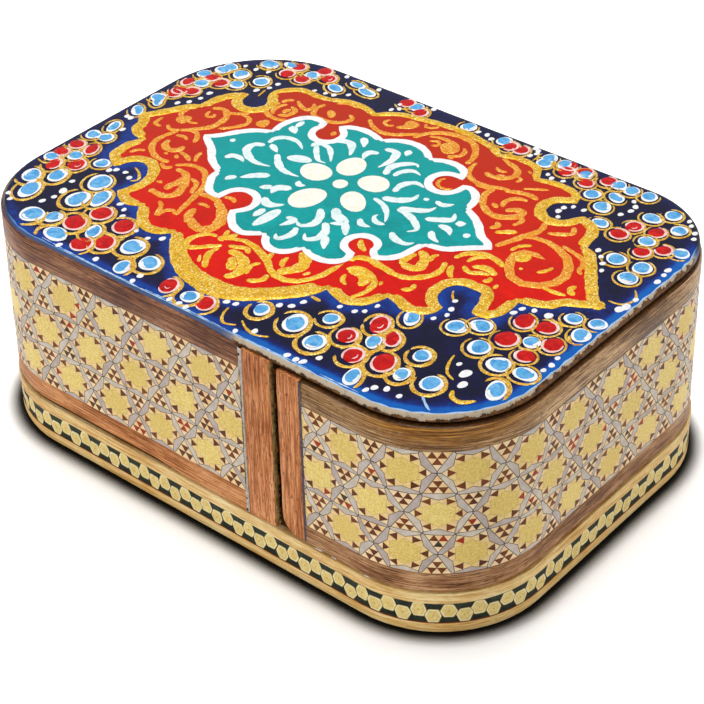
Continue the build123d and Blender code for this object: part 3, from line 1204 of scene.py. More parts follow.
OUTER = """
-45.7,2.3! -44.3,4.5 -42.5,7.5 -41.1,9.8 -39.8,10.7! -39.7,12.3 -39.3,14.5 -38.2,16.6 -36.4,18 -35.6,18.2!
@-33.3,17.0,2.1 -33.1,20.5! -33,21.8 -31.8,23.6 -30,25 -28.2,25.3 -26.1,25.2 -23.9,25.5! -22.7,26.1
-20.5,26.9 -18.2,27 -16,26.6 -15,26.1! -13.6,27.5 -11.3,28.9 -9,29.4 -5.6,30.1 -2.5,30.5 1.2,30.5 4.6,30
6.9,29.4 8.9,28.2! 10.3,28.9 12.5,29.3 14.8,29.1 16.5,28.4 17.1,27.5 18,25.9! 19.4,26.4 21,26.7 22.8,26.7
25.1,26.1 26,25.2 26.7,23.4! @26.2,20.2,2.4 29.6,21.1! 31.9,20.5 33.3,19.5 34.2,18 34.6,15.7 34.9,14.4!
36.5,13.9 38.3,11.8 40.1,9.3 42.1,6.6 44,4.3 45.8,3.2! 44.6,2.3 42.8,1.1 40.8,0 39.9,-1.4 37.6,-2.7
35.3,-3.2! 35.5,-5.2 35.3,-7.3 34.2,-8.9 32.8,-9.5 31.7,-9.3 31.1,-7.7 30.5,-5.9 29.6,-4.5 @27.4,-7,2.5
25.1,-8.6 26,-9.8 27.6,-10.7! 27.4,-12.7 25.1,-14.5 23.5,-14.7 21.7,-14.1 19.9,-13.6! 19.4,-15.5
18.3,-17.3 16,-18.6 13.7,-18.2 11.75,-17.4! 11.4,-18.9 10.3,-20.9 8.7,-22.7 6.4,-25 4.6,-26.6 2.3,-28
0,-28.7 -2.2,-29 -4.5,-28.6 -7.2,-28 -9.5,-26.6 -11.3,-25.2 -12.9,-23.6 -14.7,-21.8 -16.4,-20.5!
-17.3,-21.6 -18.6,-22.2 -20.5,-22.3 -22.3,-21.6 -23.9,-20 -25.5,-18! -26.6,-18.6 -28.2,-18.75 -30,-18
-31.4,-16.8! -30.7,-14.5 -30.5,-12.3 -31.1,-10.5 -32.3,-9.1 -33.6,-8.4 -35.2,-8.9 -36.1,-10 -36.4,-11.1
-37,-12! -38.6,-11.1 -40.2,-9.8 -40.7,-7.5 -40.8,-6.1 -39.8,-3.4! -41.1,-3.2 -42.5,-2.5 -43.4,-1.4
-43.75,0 -44.1,0.7 -45.5,2
"""

INNER = """
-32.4,3.9! -30.7,5.7 -29.1,8.2 -27.3,10.2 -24.8,11.6! -25.1,13.2 -25,15 -24.3,17 -22.7,18.9 -20.7,19.3
-19.1,18.75 -18.6,17! @-16.8,16.2,2.0 -16.9,19.1! -15.9,20.2 -13.6,21.1 -11.3,21.1 -8.7,20.3! -7.2,21.6
-5,22.6 -2.5,22.7 -0.6,22 1.2,20.5! 2.8,21.4 4.8,21.8 6.9,21.4 8.2,20.5 8.9,18.1! @7.5,15.9,2.2 9.8,17!
11,17.5 13,16.8 14.4,15.2 15,13.2 15,12.3! 17.4,11.1 19.4,9.5 21.2,7.7 23,6.8 24.2,5.3! 22.8,4.1 21,2.5
19,0.7 16,0! 15.7,-1.4 15.5,-3.4 14.8,-5.2 13.2,-6.8 12.1,-7.3 11,-6.8 10,-5.5! @8.2,-5.5,1.9 8.9,-7.7!
9.5,-9.8 8.7,-11.4 7.1,-12.5 5,-12.8 3,-12.4 2.2,-11.8! 1.6,-13.4 0,-14.8 -1.8,-15.1 -3.6,-14.3
-5.1,-12.5! -6.1,-13.4 -7.9,-14.4 -10,-14.1 -12,-12.7 -13.1,-11.4 -13.7,-10.3! @-14.7,-7.5,2.4 -17.3,-9!
-19.1,-9.1 -20.7,-8.4 -22,-6.8 -23,-5.2 -23.3,-3.3! -25,-2.5 -26.4,-1.6 -28,0 -28.9,0.9 -30.5,2 -32,3.2
"""

# White leaf strokes on the turquoise, as width and points, the thick end first
LEAVES = """
1.0: -6.5,18 -4.3,18.2 -3.6,16.8 -3.8,13
0.9: -6.3,16.4 -7.7,15.7 -7.2,13.4
0.9: -3.1,20.2 -2.5,18.4
0.9: -11.5,18.75 -10.4,17.7 -9.5,16.4
1.0: -14.5,15.2 -12,16.1 -10.4,14.5 -9.6,13.1
0.7: -16.3,13 -14,13 -11.8,11.1 -10.75,9.8
0.7: -15.9,12.5 -14,10.2 -12.2,8.9 -11.1,9.1
1.0: -1.5,12 -2.2,14.5 -1.1,16.4 0.7,17.3 1.2,16.8
0.8: -0.2,12.5 -0.1,14.1 1.2,15.5 3,15.2
0.9: 2.8,8.9 2.5,11.4 3.7,13 5.7,12.7
1.1: 2.3,6.6 4.8,7.5 6.4,9.5 6.2,10.7
1.0: 6.2,5.9 8.5,6.8 10.3,8.2 10.6,9.5
0.8: 9.5,10.9 10.7,10.5 12.3,11.8
1.0: 11.2,5.9 13.2,7 14.6,8.2 13.9,9.8
1.1: 15.7,7.5 17,8.6
0.7: 1.4,5.7 3.9,5 6,3.2 7.1,1.4
0.7: 7.5,0.9 6,0.7 4.8,2 5,2.5
0.9: 6.2,5.5 8.5,5.2 11,3.9 12.1,2.7 11.2,1.4
0.9: 13.9,5.7 15.7,5.7 17,4.5
0.8: 14.1,3.9 15.3,2.5 16.9,2
0.8: -10.9,2.5 -10.2,1.6 -9.2,2.05
0.9: -19,6.5 -17,4.5 -15.2,3.4 -13.4,3.2 -11.7,3.4
0.8: -22.3,8.2 -22.5,9.8 -21.4,11.1 -19.5,11.4 -16.8,10
1.0: -22.3,7.3 -23.9,6.4 -23.9,4.8 -22.5,3.4 -20.2,2.5 -17.3,3
0.8: -21.8,8.2 -19.3,6.8
1.0: -23,14.5 -20.9,13
0.8: -22.4,16.8 -22.2,14.5
0.9: -24.8,0.5 -24.3,1.8 -23,2 -21.6,1.4
1.1: -15.5,0.9 -17.3,-0.4 -18.9,-2.4
0.9: -19.3,-2.6 -20.1,-3.3 -20.3,-4.3
1.0: -12.9,-1.3 -14.6,-2.7
1.2: -10.2,0 -12.2,-1.3 -11.9,-2.9
1.1: -12,-4.3 -10.2,-5.5 -8.1,-4.1
1.0: -9.7,-6.8 -9.7,-9.5
0.9: -5.6,-6.6 -4.3,-6.4 -4.9,-9
1.0: -3.1,-1.6 -1.5,-3.6 -1.1,-5.5 -2.5,-7 -3.6,-6.4
0.9: -2.5,-7.7 -1.8,-9.8 -2.9,-11.8 -3.8,-10.9
1.0: 0,-4.1 1.9,-6.6 1.9,-8.2 0.7,-9.3 -0.4,-8.2
1.3: -1.3,0 0.3,-1.6 2.3,-2.3 0.7,-3.9
0.9: 2.5,-2.3 4.8,-5
0.9: 2.5,-6.8 4.6,-9.8
0.8: 3.5,0 4.6,-1.1 6.2,-0.9
0.9: 9.6,0 11,-1.1 13.5,-1.1 14.1,-0.2
0.9: -16.3,11.5 -15.8,12.9 -14.8,13.2
"""

# Gold scrolls on the red
SCROLLS = """
1.1: -37.3,10.9 -35.5,11.8 -33.6,10.5 -33,8.2 -33.2,6.4 -34.3,4.8 -35.5,3.4 -36.6,2.5
0.6: -36.8,10 -36.6,8.9 -35.9,8.4 -35.2,9.1 -35.7,9.8
0.9: -40,8.6 -40.3,7 -39.3,5.7
0.6: -38,5.6 -36.8,5.4 -35.7,5.9
0.7: -41.6,3.9 -41.1,1.6 -39.8,1.6
0.7: -39.3,2.7 -38.2,1.8 -36.4,2.7
0.8: -35.2,11.1 -33.6,11.6 -31.1,13.4
0.8: -32,12.3 -30,12 -29.3,10.9 -30,8.9 -32,6.6
0.8: -28.2,19.5 -28.9,18.2 -28.6,16.1 -28,15.7
0.9: -27.3,19.3 -25.9,18.6 -25.9,16.8 -27.3,15.9
0.9: -29.5,19.1 -30.2,17.3 -29.8,15.7 -28.6,15 -26.1,14.8 -25,15.5
0.8: -27.7,21.4 -26.4,20.5 -24.5,20 -24.3,21.4 -25,22.3
0.8: -28.2,21.1 -29.1,20.5 -29.5,19.3
0.9: -23.2,23.2 -23.6,21.4 -22.7,19.5 -20.5,19.1 -18.6,19.5 -17,20.9 -16.8,22.3 -18,23
0.6: -22,24.5 -20.7,25.5 -18.2,25.5
0.8: -35.2,3.2 -34.1,3.6 -32.7,2.5 -32,0.9
1.0: -36.6,2.3 -37,0.9 -37.3,-0.5 -37.3,-2.3 -36.4,-4.1 -34.5,-5.5 -32.7,-6 -30.9,-5.7
0.7: -35.9,0.9 -34.5,1.4 -33.4,0.9
0.9: -14.5,23.9 -12.7,22.5 -10.6,21.8 -8.6,22.3 -6.5,23.9 -5,25.2
1.0: -9.5,24.5 -8.2,25.5 -7.2,26.6 -8,27.6
0.6: -11.5,25.9 -12,24.8 -10.9,24.1 -10,24.8
0.6: -6.3,28.4 -5.6,27.5 -4.5,28 -4,28.9
1.1: -5.2,23.6 -4.3,25.9 -2.9,27.3 -1.1,28.2 1.2,28.5 3.5,28 5,26.6 6,25 6.4,23.6 6.4,22.3
0.8: -3.4,25.5 -2,26.1 -0.2,26.3 1.6,25.9 2.8,24.5 2.3,23.4
0.6: -2.5,24.3 -1.1,25 -0.6,24.1 -1.5,23.4
0.8: 3.2,25.9 4.1,25 4.1,23.6 3,22.5 3.9,22.3
0.9: 7.5,23.6 7.8,21.6 8.7,20 10.3,19.1 13,19.1 14.8,19.8 16.6,20.2
1.0: 10,27.3 11.6,26.6 13.2,26.1 14.4,25 14.4,23.4 13.2,22.3 11.4,21.8 10.3,22.3
0.6: 10.7,24.5 11.9,23.9 13,24.3
0.6: 14.8,24.3 16,23.6 15.7,22.7
0.5: 15.3,26.6 16.2,26.1
1.1: 14.4,19.1 14.1,17.3 14.8,15.5 16,14.1 16.9,13.4
0.8: 11.2,18.4 13,18.6 14.6,19.3
0.6: 6.6,17 6.2,15.7 7.1,14.5 8.5,14.5 9.4,15.2
0.9: -16.3,17.5 -15.9,16.1
0.6: 17.8,21.8 19.6,23 21.2,23.9
1.0: 16,19.5 17.8,20.5 19.9,20.9 21.5,20.5
0.9: 20.5,19.3 19,19.1 18,18 17.9,16.6 18.5,15.7
1.3: 16,14.5 17.1,13.4 19,13 20.8,13.9 21.9,15.2 21.7,16.4 20.3,16.1 19.4,15
0.8: 16.5,15.7 18,15
0.8: 21.9,15 23,14.5 23,13.4 22.6,12.5
0.9: 20.1,11.8 21,11.1 20.3,9.8
1.0: 21.7,9.3 23,10.5 24.4,11.4
1.1: 26,16.1 26.7,14.5 26.5,12.7 25.8,11.4 25.3,9.8 24.6,8 24,6.4
0.9: 30.1,17.7 31,16.1 29.6,14.8 28,13.9
1.4: 25.8,10.7 27.4,11.8 29.6,12 31.9,11.4 34.2,10.2 35.8,8.4 36.7,6.1 36.5,3.9 35.1,2 32.8,0.9 30.5,1.4 29,3 28,4.8 27.6,6.4 28.3,7.7 30.1,8.2 31.9,8
0.7: 28.3,9.8 26.9,8.6 26.5,6.8
0.7: 34,7 33.7,5.7 32.8,4.5
0.8: 31.7,12.5 34,12 36,11.4 37.1,10 37.4,8.6 38.3,8
1.0: 39.4,5.2 39.2,3.9 40.5,3
0.8: 35.5,2 37.8,2 39.6,2.3
1.1: 21.2,0.2 22.1,2.5 24,3.6 26.2,3.6 28.3,2.7
0.8: 23.3,0.5 23.7,2.3 25.1,3.2
1.2: 24.6,0 26.5,0.9 28.7,0.2
1.0: -29.5,-5.9 -27.3,-4.3 -25,-4.3 -22.7,-6.1 -21.4,-8 -20.7,-10.7 -20.2,-12.7 -19.8,-14.5 -19.3,-16.4
0.8: -24.1,-15 -23,-15.7 -22,-17.3 -21.6,-18 -21.4,-16.4 -20.5,-15.7 -19.5,-16.4
1.2: -35.7,-0.7 -35.2,-2.3 -33.6,-3 -32.3,-2 -32.5,-0.8
0.8: -31.8,-2.5 -30.2,-2.7 -28.6,-3.6
0.8: -31.6,-3.4 -30.7,-4.3
0.7: -28.9,-0.5 -28.6,-1.8 -27.7,-3.2
0.7: -38,-7.5 -37.5,-6.1 -36.4,-5.5
0.8: -31.8,-6.6 -30.2,-7.3 -29.5,-6.4
1.3: -28.6,-6.6 -26.4,-6.8 -25,-8.2 -23.9,-10.2 -23.4,-12 -24.3,-13.4 -26.1,-13.6 -27.7,-13.4
1.3: -25.9,-7.5 -25.5,-9.5 -25.9,-10.9 -25.5,-12
0.5: -27.7,-10.5 -28.2,-11.1 -27.3,-10.9
0.8: -24.8,-7.3 -23.2,-7.7 -22,-9.8 -21.6,-10.5
1.1: -20.7,-9.8 -18.4,-9.3 -16.1,-9.8
0.7: -18.9,-12 -18,-11.6 -16.6,-11.8
1.3: -18.2,-13.2 -17.5,-15.5 -16.1,-16.8
1.7: -17,-9.8 -15.2,-10.7 -13.6,-12.3 -12.5,-14.1 -12.5,-15.9 -13.6,-17 -15,-16.8 -17,-15.5
0.8: -17,-8.2 -15.6,-7.7 -14.5,-8.4
1.0: -10.2,-16.8 -11.8,-17.3 -12.7,-18.6 -12.9,-20.5 -12,-21.6 -10.6,-20.9 -9.3,-19.5 -7.9,-18.2
0.9: -8.1,-14.5 -8.8,-15.9 -9.5,-16.8 -8.6,-17.3
0.7: -10,-14.5 -9.3,-16.4
1.1: -9.3,-17.3 -7.9,-15.9 -6.1,-15.2 -3.8,-15.5 -1.5,-16.4 0.3,-17.3 1.9,-18.6 3.5,-19.3 5.5,-19.3 7.1,-18.4 8.2,-16.8 8.9,-15 9.1,-12.7 9.4,-10.7
0.9: -0.6,-15 -0.2,-16.8 1,-18
1.0: -7.9,-18.9 -8.1,-20.5 -7.2,-22.5 -5.9,-24.1
0.9: -7.2,-17.7 -6.1,-17.3 -4.5,-16.6 -3.4,-17.5
1.6: -6.3,-18.6 -4.3,-18.6 -2.7,-19.3 -1.5,-20.9 -1.3,-22.7 -2.2,-24.1
1.4: -4.7,-19.5 -3.4,-21.1 -2.5,-22.3
0.8: -0.2,-18.2 -0.9,-19.3 -0.6,-20.7 0,-21.6
1.0: 2.5,-19.8 2.8,-21.1 1.9,-22.3 1,-22.7
1.9: 2.5,-12.3 4.4,-13.6 5,-15.5 4.1,-17.3 3,-18.4
0.8: 1.9,-14.5 2.3,-16.4 3,-17
0.6: 7.1,-15.5 6.6,-16.8
0.5: -8.8,-22 -7.7,-23.6
1.2: 9.6,-9.8 10,-8.4 11.6,-7.7 13.7,-8 15.5,-8.2 17,-8.6
0.9: 10.7,-11.8 11.2,-10.7 12.5,-10.2 14.4,-10.7 16,-11.8 16.6,-13.6 16.4,-15.2 15.7,-16.8
1.6: 11,-11.8 12.5,-11.4 14.4,-12 14.8,-13.9
0.7: 11.4,-12.7 11.9,-14.1 13.2,-14.8
1.2: 16.2,-2.3 15.7,-4.5 16.2,-5.9
0.9: 7.3,-4.3 8.2,-5.5 9.8,-6.4
1.5: 16,-1.4 17.4,-2 18.5,-3.9 18.7,-5.2 17.4,-5.7 16,-5.5
0.8: 19,-0.5 18.5,-1.4 19,-2.7
1.1: 20.8,-1.4 21.5,-3 21.5,-5 20.5,-6.6 19,-8 17.1,-8.4 16,-8.4
0.9: 22.1,-1.4 23,-3.2 24,-4.1
0.9: 23.5,-0.5 25.1,-1.4 26.7,-0.5 28,-0.2
0.9: 28.3,-0.5 28.7,-1.4 28,-2
0.6: 30.3,-1.4 30.5,-2.7
0.9: 20.8,-8.6 21.2,-9.8 20.1,-10.9
0.6: 16.7,-10.9 17.1,-12
0.7: 16,-12.7 16.7,-14.5
"""

SCROLL_LEAVES = """
-38.5,5.4,2.6,2.4,0 -27.3,12.3,2,2.6,30 -27,17.7,1.2,1.6,0 -20.5,21.4,2.2,1.6,-45
-8,26.7,2.2,2.6,0 1.3,24.6,3.2,3.4,0 13,22.4,1.8,1.6,0 28.9,6.5,2.2,3,0 30.5,3.9,0.6,0.6,0
-33.2,-4.1,0.7,0.7,0
"""

PETALS = "-7.2,10.7,4.5,5.7,20 -1.2,8.9,5.2,4.7,10 -0.4,3,5.8,4,-40 -10.6,6.1,5.8,4.6,-8 -6.7,-0.5,4.9,6.6,-8 -5.3,5.7,2.5,2.5,0"

BLUE = """
-37.7,30.9,3,1.8 -41.6,29.3 -39.3,28 -31.5,29.5 -23.4,31.6,3,1.8 -20.5,30.5,4,2 -25.6,28.4,3.4,2.2
-41.25,22.3,2.8,3.2 -36.9,22.6,2.8,3.2 -44.9,21.6 -45.8,24.1 -39.5,19.3 -47,19.1 -44.5,16.1
-46.1,7.3,1.8,3.6 -47.6,8.4 -47.2,3,2,3.6 -10.9,31.9 7.1,32 15.9,30 16,32.3 -0.2,32.6 19.2,32.9 23,31.1
29.2,32.4 31.2,31.4 34.6,32 30.5,28.4,3.2,2.2 27,27 30.3,24.9,3.2,2.8 40.1,29.3 38,26.8,3.2,2.6 43,26.4
32.6,21.1,3,2.2 40.8,21.1 46.5,21.4 39.9,14.5,3.2,3 44.2,14.8,3.2,3 44,11.4,3.4,3 47.1,-0.7 43.7,-1.7
46.9,-4.3,2.8,3.4 42.4,-9.8 34.6,-10.9,3.4,3 32,-13.2,3.2,3.2 37.4,-15.2,3.2,3.6 41.9,-16.7,3.6,3.4
46,-16.25,3.6,3 25.8,-15.5,2.4,3.6 32.5,-21.5,2.6,3 45.1,-21.6,2.8,4.6 37.4,-25.7,3.2,3.6 32.9,-26.5,2.4,3
25.1,-23,2.4,3.4 17,-22.5,2.6,2.6 18.8,-28.2,3.4,3.8 28,-31.1,2.4,4 13.7,-26.4,3.6,4.6 7.8,-26.9,2.4,3
-2.5,-30.8,2.8,3 -13.1,-28.2,3.2,4 -15.6,-31.4,2.6,3.6 -18.2,-26.6,3.8,4 -25.8,-27.3,2.4,3.8
-30.2,-31.6,4.4,3.4 -36.8,-29.6,4,4.2 -33.6,-28.2,3,3 -34.4,-22.3,3.6,4.6 -31.8,-20,3,4.8
-35.2,-16.8,4,4.6 -42.5,-24.8,3.2,5 -45.3,-21.8,3,4.2 -42,-19.3,2.8,4.2 -39.1,-12.5 -44.2,-13.4
-47.4,-16.1 -44.4,-6.4 -46.7,-7 -45.9,-3.2,2,3.6
"""

RED = """
-35.2,30.2 -30.6,31.6 -28.5,30.2 -32,27.3 -35.2,27.3 -44.5,18.6 -42,18 -46.7,15,2,2.8 -43.9,13 -45.7,12
-45.8,10.7 -13.2,32.6 -9.3,30.6 8.7,30.8 10.7,30.9 23,32.8 19.75,32 20.1,30 26.9,31.5 24.5,29.1,2.8,2.4
37.1,23.2 40.8,23.9,2.6,2.8 36.5,20.2,3,2.8 44.2,20.5 41.8,18.2 38.7,-6.4,3,3.6 42.1,-5.7,3.4,3
45.1,-8.6,3,3.4 39.2,-11.4,3.4,3.6 43.6,-13,3,2.8 23.3,-19.5,2.8,4 26.9,-21.1,2.4,3.6 21.5,-24.3,3,3.4
25.1,-27.3,3,3.6 29.4,-26.1,3.4,4.4 0.5,-30.7,2.8,3.6 -6.8,-30.7,2.8,3.8 -22.3,-28.4,3.2,4
-24.8,-30.9,3.4,3.8 -29.8,-27.3,3.6,4.4 -23.2,-23.6,3.4,4 -28.4,-23,3.6,3.8 -46.5,-10.9
-43.4,-10.5,2.2,3.4 -46.9,-13.9 -41.9,-15.2,3,3.6 -45,-17.3,2.4,3.4
"""

DOTS = """
-38.2,25.8 -42.7,25 -40.5,25.2 -34.1,23.6 -34.4,21.8 -35.6,19.9 -27.8,25.6 -25.8,26.1 -24.3,26.5
-22.4,28 -26.6,32.6 -19.5,32.4 -41.1,14.4 -41.1,12.2 -41.8,10.2 -43.1,8.75 -46.6,0.5 -45.7,0.5
-13.6,30.7 -12.8,29.5 -13.7,28.5 -8.25,32.8 -0.1,31 1.9,31.4 3.6,31.5 4.9,30.9 12.2,32.9 13,32.4
13.3,31.6 12.8,30.5 18.3,27.6 19.4,27 21.3,27.4 33.2,29.1 34.2,28 34.3,26.6 33.6,24.9 26.8,22.3
28.6,22.5 25.8,21.25 25.7,20 26.6,18.6 42.8,29.5 43.7,28.6 45.2,27.2 45.9,25.8 47.4,16.6 47.6,15.2
47.8,13.2 36.5,14.8 37.8,13.6 39,12.3 39.9,10.7 47.9,7.5 47.8,5.3,1.5 47.4,4.2,1.5 36.6,-4.1 36.2,-5.6
38.2,-3.4 40.5,-3.2,1.4 28,-8.4 28.8,-10.3 29.2,-11.8 28.2,-13.6 47.3,-10.6 47.6,-12.4 47.4,-14
37.6,-19.9 39.6,-21.1,1.8 40.8,-23.3,1.5 20.1,-16.1 19.5,-18.2 18.4,-19.1 21.7,-30.6 33.4,-30.3
35.7,-30.5 31.9,-31.1 31.3,-32.2 20.5,-32.6 19.4,-32.8 17.8,-32.8 -16.3,-22.3 -11.9,-31.4 -11.9,-33
-4.4,-33 -2.6,-33 -1.2,-33 2.5,-28.5 3.9,-28.1 9,-24.5 10.5,-23.6 11.2,-21.8 16,-19.5 10.5,-31.4
8.3,-33 -44.1,-3 -35.9,-12.5 -34.2,-12.2 -32.6,-13 -36.7,-13.3 -38.9,-19.2 -38,-22,1.5 -37.8,-24.1
-38.4,-26 -28.2,-19.3 -26.6,-20.1 -25.5,-21.5 -20.9,-23.2 -18.1,-23.6 -44.3,-27.6 -42.8,-28.6
-28,-31.4 -20.2,-32.3 -27.3,-33
"""

CURLS = """
0.5: 46.5,9.5 47.8,7.3 47.1,5.5 44.9,5
0.5: 35.8,-18.6 36.5,-20.9 37.6,-22.5 39.2,-23.2
0.9: 40.5,-25 41.5,-26.4 42.4,-26.6 44.4,-25
0.5: 3.7,-29.3 4.1,-30.9 5.5,-32.5 7.5,-31.8
0.5: 7.3,-30.5 9.1,-31.6 11,-32 13,-31.1
0.5: -34.1,-10.2 -32.3,-11.1 -31.1,-12.7 -31.8,-13.6
0.4: 26.2,-6.4 27,-7.7 27.8,-8.4
0.5: 41,-3.4 43.3,-3.9 44.6,-3.4
0.5: 45.5,-5.2 46.5,-6.4 47.6,-6.6
0.4: -34.5,21 -34,18.5
0.7: 11,-20 13,-20.2
"""


def lines(text):
    for row in text.strip().splitlines():
        width, points = row.split(":")
        yield float(width), numbers(points)


def make_medallion(look):
    mesh = Mesh()
    top = LID_TOP
    outer = closed_outline(OUTER)
    whole = [p for run in outer for p in run[:-1]]
    fill(mesh, whole, top + 0.03, look["gold"])
    fill(mesh, drawn_in(whole, 1.15), top + 0.05, look["red"])
    for index, run in enumerate(outer):
        high = sum(y for x, y in run) / len(run)
        width = 1.45 if high > 22 else 1.95
        middle = drawn_in_open(run, width / 2 - 0.08)
        stroke(mesh, middle, width, top + 0.045, look["gold"], 0.16, 0.85, 0.85, 0.12, 0.06, index)
    lobe = numbers("-15.3,-20.3 -12.8,-22.7 -10,-24.9 -6.4,-26.5 -2.2,-26.9 1.2,-26.5 3.6,-25.3 5.9,-23.2 8.2,-20.4 9.9,-17.4")
    stroke(mesh, lobe, 3.7, top + 0.05, look["gold"], 0.15, 0.5, 0.45, 0.5, 0.03, 77)
    inner = closed_outline(INNER)
    whole = [p for run in inner for p in run[:-1]]
    fill(mesh, whole, top + 0.07, look["white"])
    fill(mesh, drawn_in(whole, 0.8), top + 0.09, look["teal"])
    for index, run in enumerate(inner):
        stroke(mesh, drawn_in_open(run, 0.62), 1.35, top + 0.085, look["white"], 0.11, 0.8, 0.8, 0.2, 0.05, 50 + index)
    for index, (width, points) in enumerate(lines(LEAVES)):
        stroke(mesh, points, width * 1.55, top + 0.1, look["mint"], 0.07, 0.6, 0.16, 0.5, 0.07, 100 + index)
    for x, y, w, h, tilt in numbers(PETALS):
        oval(mesh, x, y, w, h, top + 0.1, look["petal"], radians(tilt), 0.14, int(x * 10), 0.03)
    oval(mesh, -15.2, 7.5, 4, 2.2, top + 0.1, look["mint"], radians(20), 0.09, 3, 0.05)
    oval(mesh, -7.8, -8.4, 1.9, 6.2, top + 0.1, look["mint"], radians(-3), 0.09, 4, 0.05)
    for x, y, d in ((8, 10.3, 0.9), (-27.5, 5.3, 1.0), (19, 6, 1.2)):
        oval(mesh, x, y, d, d, top + 0.1, look["mint"], 0, 0.06, int(x), 0.05)
    for index, (width, points) in enumerate(lines(SCROLLS)):
        x, y = points[0]
        tint = "scroll_warm" if x < -12 or y > 10 else "scroll"
        stroke(mesh, points, width * 1.12, top + 0.055, look[tint], 0.08, 0.65, 0.7, 0.3, 0.09, 200 + index)
    for index, (x, y, w, h, tilt) in enumerate(numbers(SCROLL_LEAVES)):
        tint = "scroll_warm" if x < -12 or y > 10 else "scroll"
        oval(mesh, x, y, w, h, top + 0.055, look[tint], radians(tilt), 0.09, index, 0.12)
    mesh.build("lid_medallion", "case", sharp=60)


def drawn_in_open(points, distance):
    """A run of a clockwise outline moved inwards."""
    moved = []
    for i, (x, y) in enumerate(points):
        before, after = points[max(0, i - 1)], points[min(len(points) - 1, i + 1)]
        tx, ty = after[0] - before[0], after[1] - before[1]
        size = hypot(tx, ty) or 1e-9
        moved.append((x + ty / size * distance, y - tx / size * distance))
    return moved


def longest_run(points, keep):
    """The longest stretch of points for which keep is true."""
    best, run = [], []
    for p in points:
        run = run + [p] if keep(p) else []
        best = run if len(run) > len(best) else best
    return best


def make_flowers(look):
    mesh = Mesh()
    top = LID_TOP
    dice = random.Random(5)
    edge = distance_to([(x, y) for x, y, z in lid_loop(0, 0)])
    for kind, text in (("blue", BLUE), ("red", RED)):
        for index, item in enumerate(numbers(text)):
            x, y = item[:2]
            w, h = item[2:] if len(item) == 4 else (2.7, 2.7)
            while edge(x, y) > -0.46 * max(w, h) - 0.75:
                x, y = x * 0.997, y * 0.996
            tilt = radians(dice.uniform(15, 40)) if h >= w else radians(dice.uniform(-25, 5))
            seed = index + (500 if kind == "red" else 0)
            near = smooth((-y - 12) / 10)
            thick = 0.4 + dice.uniform(0.18, 0.42) * near
            a0 = dice.uniform(1.9, 3.4)
            sweep_by = dice.uniform(4.8, 6.3)
            wider = 0.95 + 0.45 * near
            arc = loop_line(x - 0.1 - 0.12 * near, y - 0.16 - 0.16 * near, w + wider, h + wider, tilt, a0, a0 + sweep_by)
            arc = longest_run(arc, lambda p: edge(*p) < -0.8)
            if len(arc) > 8:
                stroke(mesh, arc, thick, top + 0.02, look["ring"], 0.08, 0.6, 0.6, 0.4, 0.12, seed)
            dx, dy = dice.uniform(-0.16, 0.04), dice.uniform(-0.04, 0.16)
            if kind == "blue":
                oval(mesh, x, y, w, h, top + 0.045, look["white"], tilt, 0.05, seed)
                oval(mesh, x + dx, y + dy, w * 0.78, h * 0.78, top + 0.078, look["sky"], tilt, 0.05, seed + 1)
                if dice.random() < 0.5:
                    a1 = dice.uniform(0, 6)
                    hook = loop_line(x + dx, y + dy, w * 0.66, h * 0.66, tilt, a1, a1 + 1.6, 8)
                    stroke(mesh, hook, 0.5, top + 0.12, look["white"], 0.04, 0.8, 0.2, 0.3, 0.0, seed)
            else:
                oval(mesh, x, y, w, h, top + 0.045, look["crimson"], tilt, 0.06, seed)
                a1 = dice.uniform(2.2, 5.0)
                line = loop_line(x + dx, y + dy, w * 0.96, h * 0.96, tilt, a1, a1 + dice.uniform(3.6, 5.6))
                stroke(mesh, line, 0.4, top + 0.075, look["pink"], 0.05, 0.5, 0.5, 0.6, 0.15, seed)
                if dice.random() < 0.2:
                    hook = loop_line(x, y, w * 0.36, h * 0.4, tilt, a1, a1 + 2.2, 8)
                    stroke(mesh, hook, 0.24, top + 0.12, look["pink"], 0.03, 0.8, 0.3, 0.3, 0.0, seed)
    for index, item in enumerate(numbers(DOTS)):
        size = item[2] if len(item) == 3 else dice.uniform(0.85, 1.15)
        oval(mesh, item[0], item[1], size * 0.85, size * 1.1, top + 0.03, look["white"], radians(dice.uniform(-30, 30)), 0.09, index, 0.06)
    for index, (width, points) in enumerate(lines(CURLS)):
        stroke(mesh, points, width, top + 0.02, look["gold"], 0.06, 0.5, 0.6, 0.4, 0.08, 300 + index)
    # Painted highlights: pale blue streaks at the near corner and along the front edge stand for the lacquer's
    # reflections.
    glint = look["streak"]
    stroke(mesh, numbers("37.8,-28.3 39.4,-29.6 40.9,-30.5"), 0.5, top + 0.02, glint, 0.05, 0.4, 0.3, 0.5, 0.2, 1)
    for index, text in enumerate((
        "-31,-33.1 -20,-33.5 -11,-33.45", "-9,-33.4 -2,-33.35 7,-33.5", "-26,-33.62 -12,-33.66 4,-33.62",
        "8,-33.5 14,-33.45 22,-33.3", "24,-33.3 31,-33.2",
    )):
        stroke(mesh, numbers(text), 0.2, top - 0.005, glint, 0.03, 0.4, 0.4, 0.7, 0.4, 20 + index)
    mesh.build("lid_flowers", "case", sharp=60)


# Inside

